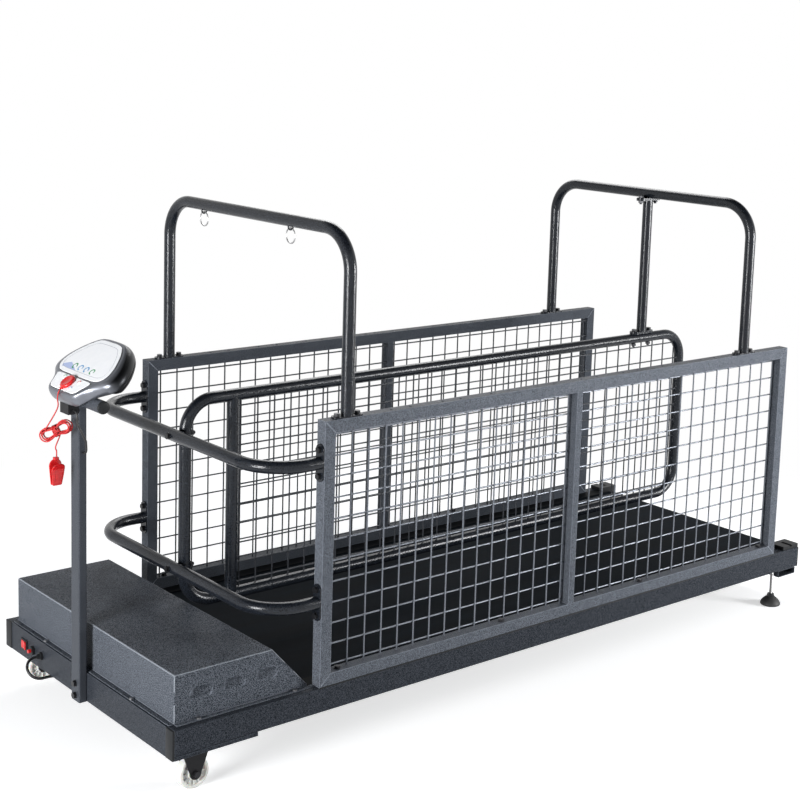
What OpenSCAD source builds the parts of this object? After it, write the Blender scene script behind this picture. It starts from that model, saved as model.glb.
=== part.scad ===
/* [Base frame] */
// Width over the two side rails
base_w = 816; // [790:2:860]
// Length of the side rails with their end caps
base_l = 2184; // [2170:2:2300]
// Height of a side rail tube
rail_h = 60; // [60:1:70]
// Width of a side rail tube
rail_w = 30; // [28:1:36]
// Wall of the side rail tubes
rail_wall = 2; // [1.5:0.5:3]
// Height of the underside of the rails above the floor
rail_clear = 104; // [102:1:116]
// Visible thickness of a tube end cap
cap_t = 6; // [4:1:10]
// Thickness of the folded front pan
sheet_t = 2; // [1.5:0.5:3]
// Length of the front pan
pan_l = 220; // [200:5:240]
// Depth of the front pan below the rails
pan_drop = 9; // [8:1:12]
// Number of cross tubes under the deck
cross_n = 4; // [3:1:5]

/* [Running gear] */
// Gap between the running belt and each side rail
belt_in = 33; // [28:1:40]
// Thickness of the running belt
belt_t = 2; // [1.5:0.25:2.5]
// Diameter of the belt rollers
roller_d = 50; // [46:1:50]
// Front roller axis behind the rail front end
front_roller_x = 330; // [322:1:338]
// Rear roller axis before the rail rear end
rear_roller_in = 34; // [32:1:40]
// Thickness of the deck board
deck_t = 18; // [15:1:20]
// Height of the rubber deck cushions
cushion_h = 8; // [6:1:9]
// Diameter of the drive motor can
motor_d = 110; // [96:1:116]
// Diameter of the motor pulley
motor_pulley_d = 36; // [32:1:40]
// Diameter of the pulley on the front roller
roller_pulley_d = 56; // [50:1:58]

/* [Motor hood] */
// Front face of the hood behind the rail front end
hood_x = 20; // [16:1:26]
// Length of the flat top of the hood
hood_top_l = 254; // [240:2:260]
// Length of the sloping rear face of the hood
hood_slope_l = 99; // [92:1:100]
// Height of the hood above the rails
hood_h = 112; // [104:1:124]
// Sheet thickness of the hood
hood_t = 1.5; // [1:0.25:2]

/* [Side panels] */
// Front edge of the side panels behind the rail front end
panel_x = 388; // [386:1:396]
// Rear edge of the side panels before the rail rear end
panel_in = 122; // [118:1:136]
// Height of a side panel
panel_h = 630; // [600:2:660]
// Square section of the panel tubes
panel_tube = 30; // [28:1:32]
// Wall of the panel tubes
panel_wall = 1.5; // [1.25:0.25:2]
// Width of the middle upright
mid_post_w = 20; // [16:1:26]
// Middle upright ahead of the middle of a panel
mid_shift = 23; // [0:1:40]
// Diameter of a mesh wire
wire_d = 4; // [3:0.5:5]
// Pitch of the mesh wires
wire_pitch = 50; // [45:1:60]
// Mesh plane behind the outer face of a panel
wire_in = 23; // [14:1:24]

/* [Arches] */
// Diameter of the round tubes
tube_d = 30; // [28:1:31]
// Wall of the round tubes
tube_wall = 2; // [1.5:0.25:2.5]
// First arch position behind the panel front edge
arch_first = 71; // [66:1:76]
// Last arch position before the panel rear edge
arch_last = 185.5; // [181:0.5:200]
// Height of the arch crossbar above the panels
arch_rise = 424; // [400:2:450]
// Bend radius of the arches
arch_bend = 95; // [80:1:110]
// Thickness of the bolted flanges
flange_t = 4; // [3:0.5:6]
// Bolt spacing of an arch flange
arch_bolt_gap = 58; // [54:1:62]
// Sideways place of the leash ring on the left
left_ring_y = 225; // [190:1:240]
// Sideways place of the leash ring on the right
right_ring_y = 157; // [140:1:200]
// Outer diameter of a leash ring
ring_d = 39.5; // [36:0.5:44]
// Wire diameter of a leash ring
ring_wire = 3.5; // [3:0.25:4]

/* [Divider] */
// Rear tube of the divider before the rail rear end
divider_in = 128; // [124:1:140]
// Height of the lower divider tube
divider_low = 268; // [256:1:280]
// Upper divider tube below the top of the panels
divider_top_in = 19; // [12:1:36]
// Bend radius of the divider corners
divider_bend = 76; // [66:1:78]
// Inner upright behind the front tube of the divider
inner_post = 134; // [126:1:150]
// Bolt spacing of the drop tube flanges
drop_bolt_gap = 64; // [60:1:70]

/* [Front bars] */
// Reach of the front bars ahead of the panels
bar_reach = 146; // [140:1:150]
// Upper front bar below the top of the panels
bar_upper_in = 98; // [90:1:124]
// Height of the lower front bar
bar_lower_z = 367; // [350:1:385]
// Bend radius of the front bars
bar_bend = 105; // [90:1:115]
// Bolt spacing of a front bar flange
bar_bolt_gap = 62; // [58:1:66]

/* [Console] */
// Depth of the console post
post_d = 20; // [18:1:22]
// Width of the console post
post_w = 40; // [36:1:46]
// Height of the console crossbar
crossbar_z = 818; // [810:1:820]
// Length of the console crossbar with its caps
crossbar_l = 242; // [230:1:260]
// Tilt of the console face
console_tilt = 36; // [34:1:38]
// Length of the console face
console_l = 188; // [182:1:194]
// Width of the console
console_w = 270; // [262:1:276]
// Depth of the front shell of the console
shell_d = 22; // [20:1:23]
// Depth of the back shell of the console
back_d = 26; // [20:1:30]
// Thickness of the face overlays
overlay_t = 2; // [1.5:0.25:2.5]
// Diameter of a console key
key_d = 14; // [12:0.5:15]
// Travel of a console key
key_travel = 0.4; // [0.3:0.05:0.5]
// Diameter of the safety key
safety_d = 38; // [34:1:38]
// Diameter of the lanyard cord
lanyard_d = 3; // [2.5:0.25:3]
// Diameter of the console cable
cable_d = 5; // [4:0.25:5.5]

/* [Power inlet] */
// Rocker switch inward of the side rail
rocker_in = 73; // [68:1:82]
// Circuit breaker inward of the rocker switch
breaker_gap = 47; // [42:1:52]
// Cord gland inward of the circuit breaker
gland_gap = 44; // [38:1:50]
// Height of the inlet fittings above the rail underside
inlet_rise = 25; // [23:1:27]
// Half angle of the rocker travel
rocker_swing = 8; // [6:1:9]
// Travel of the breaker button
breaker_travel = 3; // [2:0.25:4]
// Diameter of the mains cord
cord_d = 7; // [6.5:0.25:7]

/* [Wheels and feet] */
// Diameter of a castor wheel
wheel_d = 75; // [70:1:78]
// Width of a castor wheel
wheel_w = 24; // [22:1:28]
// Castor axle behind the rail front end
castor_x = 75; // [70:1:90]
// Diameter of a foot pad
foot_d = 60; // [52:1:60]
// Height of a foot pad
foot_h = 26; // [22:1:28]
// Diameter of a foot stud
stud_d = 10; // [8:0.5:10]
// Levelling foot before the rail rear end
foot_in = 104; // [102:1:112]

/* [Fits] */
// Gap between pieces that turn past each other
run_gap = 0.3; // [0.3:0.05:0.4]
// Radial clearance of a running fit
fit_gap = 0.05; // [0.03:0.01:0.08]
// Diametral clearance of a bolt hole
hole_gap = 0.6; // [0.6:0.1:1]

/* [Hidden] */
$fn = 64;
graphite = [0.24, 0.26, 0.30];
dark = [0.10, 0.10, 0.11];
zinc = [0.74, 0.75, 0.77];
silver = [0.78, 0.79, 0.81];
white = [0.93, 0.94, 0.95];
red = [0.80, 0.06, 0.08];
rubber = [0.05, 0.05, 0.05];
wood = [0.62, 0.48, 0.32];

// Base levels and places
half_w = base_w / 2;
rail_y = half_w - rail_w / 2;
rail_in = half_w - rail_w;
rail_top = rail_clear + rail_h;
pan_z = rail_clear - pan_drop;
plate_x = 2;
rail_round = 3;
cap_plug = 12;
plug_gap = 0.2;
weld_line = 0.1;
pan_fold = 28;

// Deck and belt
belt_drop = 6;
deck_top = rail_top - belt_drop;
roller_r = roller_d / 2;
roller_z = deck_top - roller_r;
belt_in_r = roller_r + run_gap;
belt_out_r = belt_in_r + belt_t;
rear_roller_x = base_l - rear_roller_in;
deck_clear = 20;
deck_x = front_roller_x + roller_r + deck_clear;
deck_end = rear_roller_x - roller_r - deck_clear;
deck_over = 17;
belt_w = 2 * (rail_in - belt_in);
deck_half = belt_w / 2 + deck_over;
cross_w = 40;
cross_h = 20;
cross_top = deck_top - deck_t - cushion_h;
cushion_d = 36;
cushion_y = deck_half * 0.75;
rear_bar_w = 80;
rear_bar_h = 20;
rear_bar_in = 11;
strip_t = 2;
strip_lap = 7;
roller_over = 5;
roller_half = belt_w / 2 + roller_over;
roller_bore = 30;
bearing_d = 40;
bearing_w = 12;
shaft_d = 17;
block_l = 70;
block_w = 24;
block_rise = 11;
block_drop = 44;
block_face = rail_in - block_w;
cross_x = [for (i = [0 : cross_n - 1]) deck_x + (deck_end - deck_x) * (i + 0.5) / cross_n];

// Drive
motor_x = 150;
motor_z = rail_top + 26;
motor_l = 190;
motor_in = 128;
motor_end = rail_in - motor_in;
motor_shaft_d = 15;
shaft_grip = 60;
pulley_w = 18;
pulley_y = roller_half + 2;
flange_rim = 3;
drive_belt_t = 3;
belt_nip = 0.02;
controller_w = 180;
controller_l = 110;
controller_h = 46;
fin_n = 7;
fin_h = 14;
fin_t = 4;

// Hood
hood_half = rail_in + 2;
hood_flange = 12;
hood_lip = 5;
hood_top = rail_top + hood_h;
hood_back = hood_x + hood_top_l;
hood_end = hood_back + hood_slope_l;
hood_angle = atan2(hood_h - hood_lip, hood_slope_l);
dent_r = 14;
dent_depth = 6;
dent_l = 30;
dent_first = 69;
dent_pitch = 86;
dent_z = rail_top + 59;
screw_d = 5;
screw_head_d = 11;
screw_head_h = 3.5;
screw_l = 10;
front_screw_y = 210;
front_screw_in = 8;
side_screw_first = 59;
side_screw_pitch = 255;
side_screws = [hood_x + side_screw_first, hood_x + side_screw_first + side_screw_pitch];

// Panels
panel_y = half_w - panel_tube / 2;
panel_top = rail_top + panel_h;
panel_end = base_l - panel_in;
panel_l = panel_end - panel_x;
wire_margin = 8;
layer_gap = 0.05;
panel_bolt_in = 60;
panel_bolt_n = 4;
panel_bolt_x = [for (i = [0 : panel_bolt_n - 1])
  panel_x + panel_bolt_in + i * (panel_l - 2 * panel_bolt_in) / (panel_bolt_n - 1)];
mid_x = panel_x + panel_l / 2 - mid_shift;

// Fasteners
bolt_d = 8;
bolt_hex = 15;
bolt_head = 5.5;
washer_d = 16;
washer_t = 1.5;
nut_h = 6.5;
bolt_spare = 4;
hole_d = bolt_d + hole_gap;

// Arches, divider and front bars
arch_n = 10;
bore_d = tube_d - 2 * tube_wall;
arch_z = panel_top + arch_rise;
front_arch_x = panel_x + arch_first;
arch_pitch = (panel_l - arch_first - arch_last) / (arch_n - 1);
rear_arch_x = front_arch_x + (arch_n - 1) * arch_pitch;
arch_x = [for (i = [0 : arch_n - 1]) front_arch_x + i * arch_pitch];
flange_w = 28;
flange_over = 26;
eye_r = 7;
eye_wire = 4;
eye_z = arch_z - tube_d / 2;
ring_r = ring_d / 2 - ring_wire / 2;
ring_pivot = eye_z - eye_r + eye_wire / 2 + run_gap + ring_wire / 2;
bar_x = panel_x - bar_reach;
bar_upper_z = panel_top - bar_upper_in;
divider_x = bar_x + tube_d + run_gap;
divider_end = base_l - divider_in;
divider_top = panel_top - divider_top_in;
divider_h = divider_top - divider_low;
inner_x = divider_x + inner_post;
seat_lap = 1;
nut_seat = 0.6;
drop_low = divider_top + tube_d / 2 + flange_t - seat_lap;
drop_high = arch_z - tube_d / 2 - flange_t + seat_lap;

// Console
post_x = plate_x - post_d / 2;
post_bolt_low = 14;
post_bolt_gap = 29;
post_bolt_z = [pan_z + post_bolt_low, pan_z + post_bolt_low + post_bolt_gap];
console_x = 17.5;
console_rise = 73;
console_z = crossbar_z + console_rise;
console_mid = -5;
corner_r = 22;
front_half = 62;
rear_half = 76;
wide_low = -24;
wide_high = 12;
top_inset = 7;
rim_drop = 8;
base_inset = 4;
slice_t = 1;
face_front = console_mid - console_l / 2;
face_rear = console_mid + console_l / 2;
shell_reach = -(console_x + face_front * cos(console_tilt) + rim_drop * sin(console_tilt));
back_front = -34;
back_inset = 18;
post_wall = 2;
bracket_d = 26;
bracket_t = 2.5;
bracket_low = crossbar_z - 32;
bracket_half = 45;
bracket_front = -76;
bracket_back = -40;
key_lift = key_travel + 0.1;
key_rise = 0.5;
safety_at = [-62, -2];
safety_h = 8;
tail_w = 10;
tail_h = 5;
tail_end = -84;
green_at = [-50, 34];
red_at = [-52, -37];
blue_at = [-74, -27];
display_line = [[78, 52], [12, 106], [-22, 106], [-39, 84], [-39, -84], [-22, -106], [12, -106], [78, -52]];
keypad_line = [[-40.5, 78], [-86, 56], [-86, -56], [-40.5, -78]];

// Safety lanyard and clip
tail_w_mid = overlay_t + tail_h / 2;
lanyard_x = console_x + tail_end * cos(console_tilt) - tail_w_mid * sin(console_tilt);
lanyard_z = console_z + tail_end * sin(console_tilt) + tail_w_mid * cos(console_tilt);
lanyard_y = safety_at[1];
lanyard_start = [lanyard_x, lanyard_y, lanyard_z];
hank_run = 45;
hank_r = 9;
hank_layers = 4;
hank_bends = 3;
hank_waist = 0.36;
hank_pitch = lanyard_d + 2.7;
hank_hang = [-9.5, 5, -97.3];
hank_mid = lanyard_start + hank_hang;
hank_rise = 26;
hank_turn = -45;
clip_hang = [-6.9, 8, -192.3];
clip_at = lanyard_start + clip_hang;
clip_tall = 65;
clip_wide = 40;
clip_neck = 16;
clip_t = 4;
clip_pin_d = 4;
clip_back = clip_t + 0.6;
clip_lug = 3;

// Power inlet
inlet_z = rail_clear + inlet_rise;
rocker_y = rail_in - rocker_in;
breaker_y = rocker_y - breaker_gap;
gland_y = breaker_y - gland_gap;
bezel_w = 33;
bezel_h = 27;
bezel_t = 3;
rocker_w = 26;
rocker_h = 20;
rocker_floor = 0.5;
rocker_t = 3.4;
breaker_d = 22;
breaker_out = 8;
button_d = 9;
button_out = 7;
gland_d = 20;
gland_out = 14;
fitting_depth = 24;
fitting_neck = 14;

// Mains cord and plug
coil_at = [330, 165, 0];
coil_r = 31;
coil_turns = 2.75;
coil_pitch = cord_d + 1.7;
plug_l = 46;
plug_w = 30;
plug_h = 15;
pin_d = 4;
pin_l = 19;
pin_gap = 18;

// Wheels and feet
axle_z = wheel_d / 2;
castor_y = rail_in - 12;
wheel_gap = 2;
fork_t = 3;
fork_boss = 14;
fork_top = 70;
fork_half = wheel_w / 2 + wheel_gap + fork_t;
hub_d = 22;
hub_gap = 0.2;
wheel_edge = 3;
rim_w = 9;
rim_dish = 3;
foot_x = base_l - foot_in;
stud_top = rail_clear + 34;
stud_sink = 8;
foot_nut = 20;
foot_nut_h = 10;
weld_nut_h = 9;
pad_edge = 5;

// Wound and free lengths of cord
ring_twist = 5;
hank_points = hanked(8, 6);
hank_line = [for (p = hank_points) hank_place(p)];
hank_top = hank_line[0];
hank_end = hank_line[len(hank_line) - 1];
down_face = [-cos(console_tilt), 0, -sin(console_tilt)];
lanyard_in = unit(hank_line[1] - hank_line[0]);
lanyard_out = unit(hank_end - hank_line[len(hank_line) - 2]);
upper_drop = [[-6.7, 0.2, -12.3], [-7.9, 0.4, -23.3], [-8.1, 1, -45.3]];
lower_drop = [0, 2, -37];
lower_lift = hank_pitch * (hank_layers - 1) + lanyard_d + 1;
lower_way = [[5, 10, lower_lift], [0, -12, lower_lift]];
lead_in = [4, 9];
lanyard_upper = concat([lanyard_start], smooth(concat([lanyard_start + lanyard_d * down_face],
  [for (d = upper_drop) lanyard_start + d],
  [hank_top - lead_in[1] * lanyard_in, hank_top - lead_in[0] * lanyard_in]), 5), [hank_top]);
clip_top = clip_at + [0, 0, clip_tall / 2];
lanyard_lower = concat([hank_end], smooth(concat([hank_end + lead_in[0] * lanyard_out],
  [for (p = lower_way) hank_place(p)], [hank_mid + lower_drop, clip_top + [0, 0, 14],
  clip_top + [0, 0, lead_in[0]]]), 5), [clip_top]);
cable_bend = 12;
cable_top = [plate_x - post_d - bracket_d / 2, -post_w / 2, crossbar_z - 22];
cable_low = [post_x, -post_w / 2, crossbar_z - 124];
cable_reach = 5 + cable_bend;
cable_line = concat([cable_top],
  arc(cable_top + [0, -5, -cable_bend], [0, 0, 1], [0, -1, 0], cable_bend, 0, 90, 6),
  smooth([cable_top + [1, -cable_reach, -cable_bend - 18], cable_top + [9, -cable_reach - 3, -48],
    cable_low + [-1, -cable_reach, cable_bend + 18]], 3),
  arc(cable_low + [0, -5, cable_bend], [0, -1, 0], [0, 0, -1], cable_bend, 0, 90, 6), [cable_low]);
coil_points = wound(coil_turns, 2, coil_r, coil_pitch, 12);
coil_line = [for (p = coil_points) coil_at + [-p[0], p[1], p[2] + cord_d / 2]];
coil_last = len(coil_line) - 1;
coil_in = unit(coil_line[1] - coil_line[0]);
coil_out = unit(coil_line[coil_last] - coil_line[coil_last - 1]);
cord_bend = 4 * cord_d;
cord_lean = 45;
cord_start = [plate_x - gland_out, gland_y, inlet_z];
cord_lead = 4;
cord_side = [0, -sin(cord_lean), -cos(cord_lean)];
cord_under = cord_start + [-cord_lead, 0, 0] + 2 * cord_bend * cord_side;
cord_way = [[20, 0, -0.4], [46, 0.6, -6], [81, 4, -23], [131, 14, -54], [181, 29, -78.5], [221, 38, -85.8]];
coil_lead = [14, 45];
cord_fall = concat([cord_start],
  arc(cord_start + [-cord_lead, 0, 0] + cord_bend * cord_side, -cord_side, [-1, 0, 0], cord_bend, 0, 180, 14),
  smooth(concat([for (p = cord_way) cord_under + p],
    [coil_line[0] - coil_lead[1] * coil_in, coil_line[0] - coil_lead[0] * coil_in]), 5), [coil_line[0]]);
cord_line = [for (p = cord_fall) [p[0], p[1], max(p[2], cord_d / 2)]];
plug_back = [486, 205, plug_h / 2];
tail_sink = [0, 0, -2.5];
tail_swing = [80, -5, -5.2];
plug_lead = [14, 36];
tail_line = concat([coil_line[coil_last]], smooth([coil_line[coil_last] + coil_lead[0] * coil_out,
  coil_line[coil_last] + plug_lead[1] * coil_out + tail_sink, coil_line[coil_last] + tail_swing,
  plug_back - [plug_lead[1], 0, 0], plug_back - [plug_lead[0], 0, 0]], 5), [plug_back]);
echo(hank_gap = self_gap(hank_points, lanyard_d, 10), hank_points = len(hank_points));
echo(coil_gap = self_gap(coil_points, cord_d, 8), coil_points = len(coil_points));

// Place of the rail front end in the shared frame, behind the foremost of the shell and the key tail
tail_reach = -(console_x + tail_end * cos(console_tilt) - (overlay_t + tail_h) * sin(console_tilt));
front_reach = max(shell_reach, tail_reach);
front_x = (front_reach - base_l) / 2;

// Shared placing
module placed() {
  translate([front_x, 0, 0]) children();
}

module on_face() {
  translate([console_x, 0, console_z]) rotate([0, -console_tilt, 0]) children();
}

module both_sides() {
  children();
  mirror([0, 1, 0]) children();
}

// Basic bars and tubes
module bar_x_way(length, d) {
  rotate([0, 90, 0]) cylinder(d = d, h = length);
}

module bar_y_way(length, d) {
  rotate([-90, 0, 0]) cylinder(d = d, h = length);
}

module block(x, y, z) {
  translate([x[0], y[0], z[0]]) cube([x[1] - x[0], y[1] - y[0], z[1] - z[0]]);
}

module elbow(bend, d) {
  rotate_extrude(angle = 90) translate([bend, 0]) circle(d = d);
}

module soft_rect(w, h, r) {
  square([w - 2 * r, h], center = true);
  square([w, h - 2 * r], center = true);
  for (sx = [-1, 1]) for (sy = [-1, 1]) {
    translate([sx * (w / 2 - r), sy * (h / 2 - r)]) circle(r = r);
  }
}

module tube_section(w, h, wall, r) {
  difference() {
    soft_rect(w, h, r);
    square([w - 2 * wall, h - 2 * wall], center = true);
  }
}

module lobe_plate(length, width, t) {
  linear_extrude(t) {
    square([length - width, width], center = true);
    for (s = [-1, 1]) translate([s * (length - width) / 2, 0]) circle(d = width);
  }
}

// A hex bolt with its washer seated at zero, the shank pointing down, and a nut below the grip
module hex_bolt(grip, nut) {
  cylinder(d = washer_d, h = washer_t);
  translate([0, 0, washer_t]) cylinder(d = bolt_hex, h = bolt_head, $fn = 6);
  translate([0, 0, -grip - bolt_spare - (nut ? nut_h : 0)])
    cylinder(d = bolt_d, h = grip + bolt_spare + (nut ? nut_h : 0) + washer_t);
  if (nut) translate([0, 0, -grip - nut_h]) cylinder(d = bolt_hex, h = nut_h, $fn = 6);
}

module forward_bolt(grip, nut) {
  rotate([0, -90, 0]) hex_bolt(grip, nut);
}

// A closed tube swept along a row of points
function unit(v) = v / norm(v);
function heading(p, i) = unit(p[min(i + 1, len(p) - 1)] - p[max(i - 1, 0)]);
function square_to(v, t) = unit(v - (v * t) * t);
function sides_of(p, start, i = 0, last = undef) =
  i == len(p) ? [] :
  let (n = square_to(last == undef ? start : last, heading(p, i)))
  concat([n], sides_of(p, start, i + 1, n));

module swept(p, d, sides, start) {
  n = sides_of(p, start);
  count = len(p);
  rings = [for (i = [0 : count - 1]) for (k = [0 : sides - 1])
    let (a = 360 * k / sides + ring_twist * i, t = heading(p, i))
    p[i] + d / 2 * (cos(a) * n[i] + sin(a) * cross(t, n[i]))];
  walls = [for (i = [0 : count - 2]) for (k = [0 : sides - 1])
    let (a = i * sides + k, b = i * sides + (k + 1) % sides)
    each [[a, a + sides, b + sides], [a, b + sides, b]]];
  near_cap = [[for (k = [0 : sides - 1]) k]];
  far_cap = [[for (k = [sides - 1 : -1 : 0]) (count - 1) * sides + k]];
  polyhedron(points = rings, faces = concat(walls, near_cap, far_cap));
}

// Points of a smooth line through hand chosen stations
function smooth_at(p, i, t) =
  let (a = p[max(i - 1, 0)], b = p[i], c = p[i + 1], e = p[min(i + 2, len(p) - 1)])
  0.5 * ((2 * b) + (c - a) * t + (2 * a - 5 * b + 4 * c - e) * t * t
    + (3 * b - a - 3 * c + e) * t * t * t);
function smooth(p, steps) = concat(
  [for (i = [0 : len(p) - 2]) for (k = [0 : steps - 1]) smooth_at(p, i, k / steps)],
  [p[len(p) - 1]]);

// Points of a flat arc, used to lay rounded bends
function arc(mid, u, v, r, from, to, steps) =
  [for (k = [0 : steps]) let (a = from + (to - from) * k / steps) mid + r * (cos(a) * u + sin(a) * v)];

// Wound loops: spiral in and out in layers, climbing in the half turn where the spiral reverses
function layer_span(turns) = turns + 0.5;
function wound_layer(s, turns) = floor((s + 0.0001) / layer_span(turns));
function wound_r(s, turns, r, pitch) =
  let (k = wound_layer(s, turns), q = min(s - k * layer_span(turns), turns))
  k % 2 == 0 ? r + pitch * (turns - q) : r + pitch * q;
function wound_z(s, turns, pitch) =
  let (k = wound_layer(s, turns), q = max(s - k * layer_span(turns) - turns, 0))
  pitch * (k + 0.5 - 0.5 * cos(360 * q));
function wound(turns, layers, r, pitch, steps) =
  let (total = layers * turns + (layers - 1) * 0.5)
  [for (h = [0 : ceil(2 * total) - 1]) for (k = [0 : steps - (h == 2 * total - 1 ? 0 : 1)])
    let (s = h / 2 + k / steps / 2, a = 360 * s + 90)
    [wound_r(s, turns, r, pitch) * cos(a), wound_r(s, turns, r, pitch) * sin(a), wound_z(s, turns, pitch)]];

// A hank: half round bends of even radius, joined by runs that step and climb, drawn in at the waist
function bend_r(h) = let (k = floor(h / hank_bends), q = (h - k * hank_bends) / 2)
  hank_r + hank_pitch * (k % 2 == 0 ? (hank_bends - 1) / 2 - q : q);
function bend_at(h, t) = let (a = 180 * (h + t) + 90, end = h % 2 == 0 ? -1 : 1)
  [bend_r(h) * cos(a) + end * hank_run / 2, bend_r(h) * sin(a), hank_pitch * floor(h / hank_bends)];
function run_at(a, b, t) = let (rise = (1 - cos(180 * t)) / 2, draw = 1 - hank_waist * (1 - cos(360 * t)) / 2)
  [a[0] + (b[0] - a[0]) * t, (a[1] + (b[1] - a[1]) * rise) * draw, a[2] + (b[2] - a[2]) * rise];
function hanked(bend_steps, run_steps) =
  let (last = hank_layers * hank_bends - 1)
  [for (h = [0 : last]) each concat([for (k = [0 : bend_steps]) bend_at(h, k / bend_steps)],
    h == last ? [] : [for (k = [1 : run_steps - 1]) run_at(bend_at(h, 1), bend_at(h + 1, 0), k / run_steps)])];
function self_gap(p, d, skip) = min([for (i = [0 : len(p) - 1]) for (k = [i + skip : 1 : len(p) - 1])
  norm(p[i] - p[k])]) - d;

// Base frame
module rail(spots) {
  difference() {
    translate([cap_t, 0, rail_clear + rail_h / 2]) rotate([90, 0, 90])
      linear_extrude(base_l - 2 * cap_t) tube_section(rail_w, rail_h, rail_wall, rail_round);
    translate([foot_x, 0, rail_clear - 1])
      cylinder(d = stud_d + hole_gap, h = rail_wall + 2);
    for (x = spots) translate([x, rail_y - panel_y, rail_top - rail_wall - 1])
      cylinder(d = hole_d, h = rail_wall + 2);
    for (x = side_screws) translate([x, hood_half + hood_flange / 2 - rail_y, rail_top - rail_wall - 1])
      cylinder(d = screw_d + hole_gap, h = rail_wall + 2);
  }
  difference() {
    translate([foot_x, 0, rail_clear + rail_wall]) cylinder(d = foot_nut, h = weld_nut_h, $fn = 6);
    translate([foot_x, 0, rail_clear]) cylinder(d = stud_d + 2 * fit_gap, h = weld_nut_h + rail_wall + 1);
  }
}

module left_rail() {
  placed() color(graphite) translate([0, rail_y, 0]) rail(panel_bolt_x);
}

module right_rail() {
  placed() color(graphite) mirror([0, 1, 0]) translate([0, rail_y, 0]) rail(panel_bolt_x);
}

module rail_plug(x) {
  in_w = rail_w / 2 - rail_wall - plug_gap;
  in_h = rail_h / 2 - rail_wall - plug_gap;
  block(x, [rail_y - in_w, rail_y + in_w], [rail_clear + rail_h / 2 - in_h, rail_clear + rail_h / 2 + in_h]);
}

module tube_caps() {
  placed() color(dark) {
    both_sides() {
      union() {
        block([0, cap_t], [rail_in, half_w], [pan_z, rail_top]);
        rail_plug([cap_t - 1, cap_t + cap_plug]);
      }
      union() {
        block([base_l - cap_t, base_l], [rail_in, half_w], [rail_clear, rail_top]);
        rail_plug([base_l - cap_t - cap_plug, base_l - cap_t + 1]);
      }
      translate([post_x, crossbar_l / 2 - cap_t, crossbar_z]) {
        bar_y_way(cap_t, tube_d);
        translate([0, -cap_plug, 0]) bar_y_way(cap_plug + 1, bore_d - 2 * plug_gap);
      }
    }
  }
}

module front_pan() {
  placed() color(graphite) difference() {
    union() {
      block([plate_x, plate_x + sheet_t], [-rail_in, rail_in], [pan_z, rail_top]);
      block([plate_x, plate_x + pan_fold], [-rail_in, rail_in], [rail_top - sheet_t, rail_top]);
      block([plate_x, pan_l], [-rail_in, rail_in], [pan_z, pan_z + sheet_t]);
      both_sides() {
        block([cap_t, pan_l], [rail_in - 1, half_w], [pan_z, pan_z + sheet_t]);
        block([cap_t, pan_l], [half_w - sheet_t, half_w], [pan_z, rail_clear]);
        block([pan_l - sheet_t, pan_l], [rail_in, half_w], [pan_z, rail_clear]);
      }
    }
    for (y = [rocker_y, breaker_y, gland_y]) translate([plate_x - 1, y, inlet_z])
      bar_x_way(sheet_t + 2, fitting_neck + 2 * plug_gap);
    for (z = post_bolt_z) translate([plate_x - 1, 0, z]) bar_x_way(sheet_t + 2, hole_d);
    for (s = [-1, 1]) translate([hood_x - front_screw_in, s * front_screw_y, rail_top - sheet_t - 1])
      cylinder(d = screw_d + hole_gap, h = sheet_t + 2);
  }
}

module cross_tube(x, length, w, h, top) {
  translate([x, -length / 2, top - h / 2]) rotate([-90, 0, 0])
    linear_extrude(length) tube_section(w, h, rail_wall, rail_round);
}

module cross_members() {
  placed() color(graphite) {
    for (x = cross_x) cross_tube(x, 2 * rail_in, cross_w, cross_h, cross_top);
    cross_tube(base_l - rear_bar_in - rear_bar_w / 2, base_w - 2 * rail_wall, rear_bar_w, rear_bar_h,
      rail_clear);
  }
}

// Running gear
module running_deck() {
  placed() color(wood)
    block([deck_x, deck_end], [-deck_half, deck_half], [deck_top - deck_t, deck_top]);
}

module deck_cushions() {
  placed() color(rubber) for (x = cross_x) for (s = [-1, 0, 1])
    translate([x, s * cushion_y, cross_top]) cylinder(d = cushion_d, h = cushion_h);
}

module belt_outline(r) {
  translate([front_roller_x, roller_z]) circle(r = r);
  translate([rear_roller_x, roller_z]) circle(r = r);
  translate([front_roller_x, roller_z - r]) square([rear_roller_x - front_roller_x, 2 * r]);
}

module running_belt() {
  placed() color(rubber) translate([0, belt_w / 2, 0]) rotate([90, 0, 0]) linear_extrude(belt_w)
    difference() {
      belt_outline(belt_out_r);
      belt_outline(belt_in_r);
    }
}

module side_strips() {
  placed() color(graphite) both_sides()
    block([hood_end + 2, base_l - block_l - 2], [belt_w / 2 - strip_lap, rail_in],
      [rail_top - strip_t, rail_top]);
}

module roller(x) {
  translate([x, -roller_half, roller_z]) difference() {
    bar_y_way(2 * roller_half, roller_d);
    translate([0, -1, 0]) bar_y_way(2 * roller_half + 2, roller_bore);
    translate([0, -1, 0]) bar_y_way(bearing_w + 1 + run_gap, bearing_d);
    translate([0, 2 * roller_half - bearing_w - run_gap, 0]) bar_y_way(bearing_w + 1 + run_gap, bearing_d);
  }
}

module pulley(d) {
  bar_y_way(pulley_w, d);
  for (y = [0, pulley_w - flange_rim]) translate([0, y, 0]) bar_y_way(flange_rim, d + 2 * drive_belt_t);
}

module front_roller() {
  placed() color(zinc) {
    roller(front_roller_x);
    difference() {
      translate([front_roller_x, roller_half, roller_z]) {
        bar_y_way(pulley_y - roller_half + 1, bearing_d + 6);
        translate([0, pulley_y - roller_half, 0]) pulley(roller_pulley_d);
      }
      translate([front_roller_x, roller_half - 1, roller_z]) bar_y_way(pulley_w + 6, shaft_d + 2);
    }
  }
}

module rear_roller() {
  placed() color(zinc) roller(rear_roller_x);
}

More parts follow.
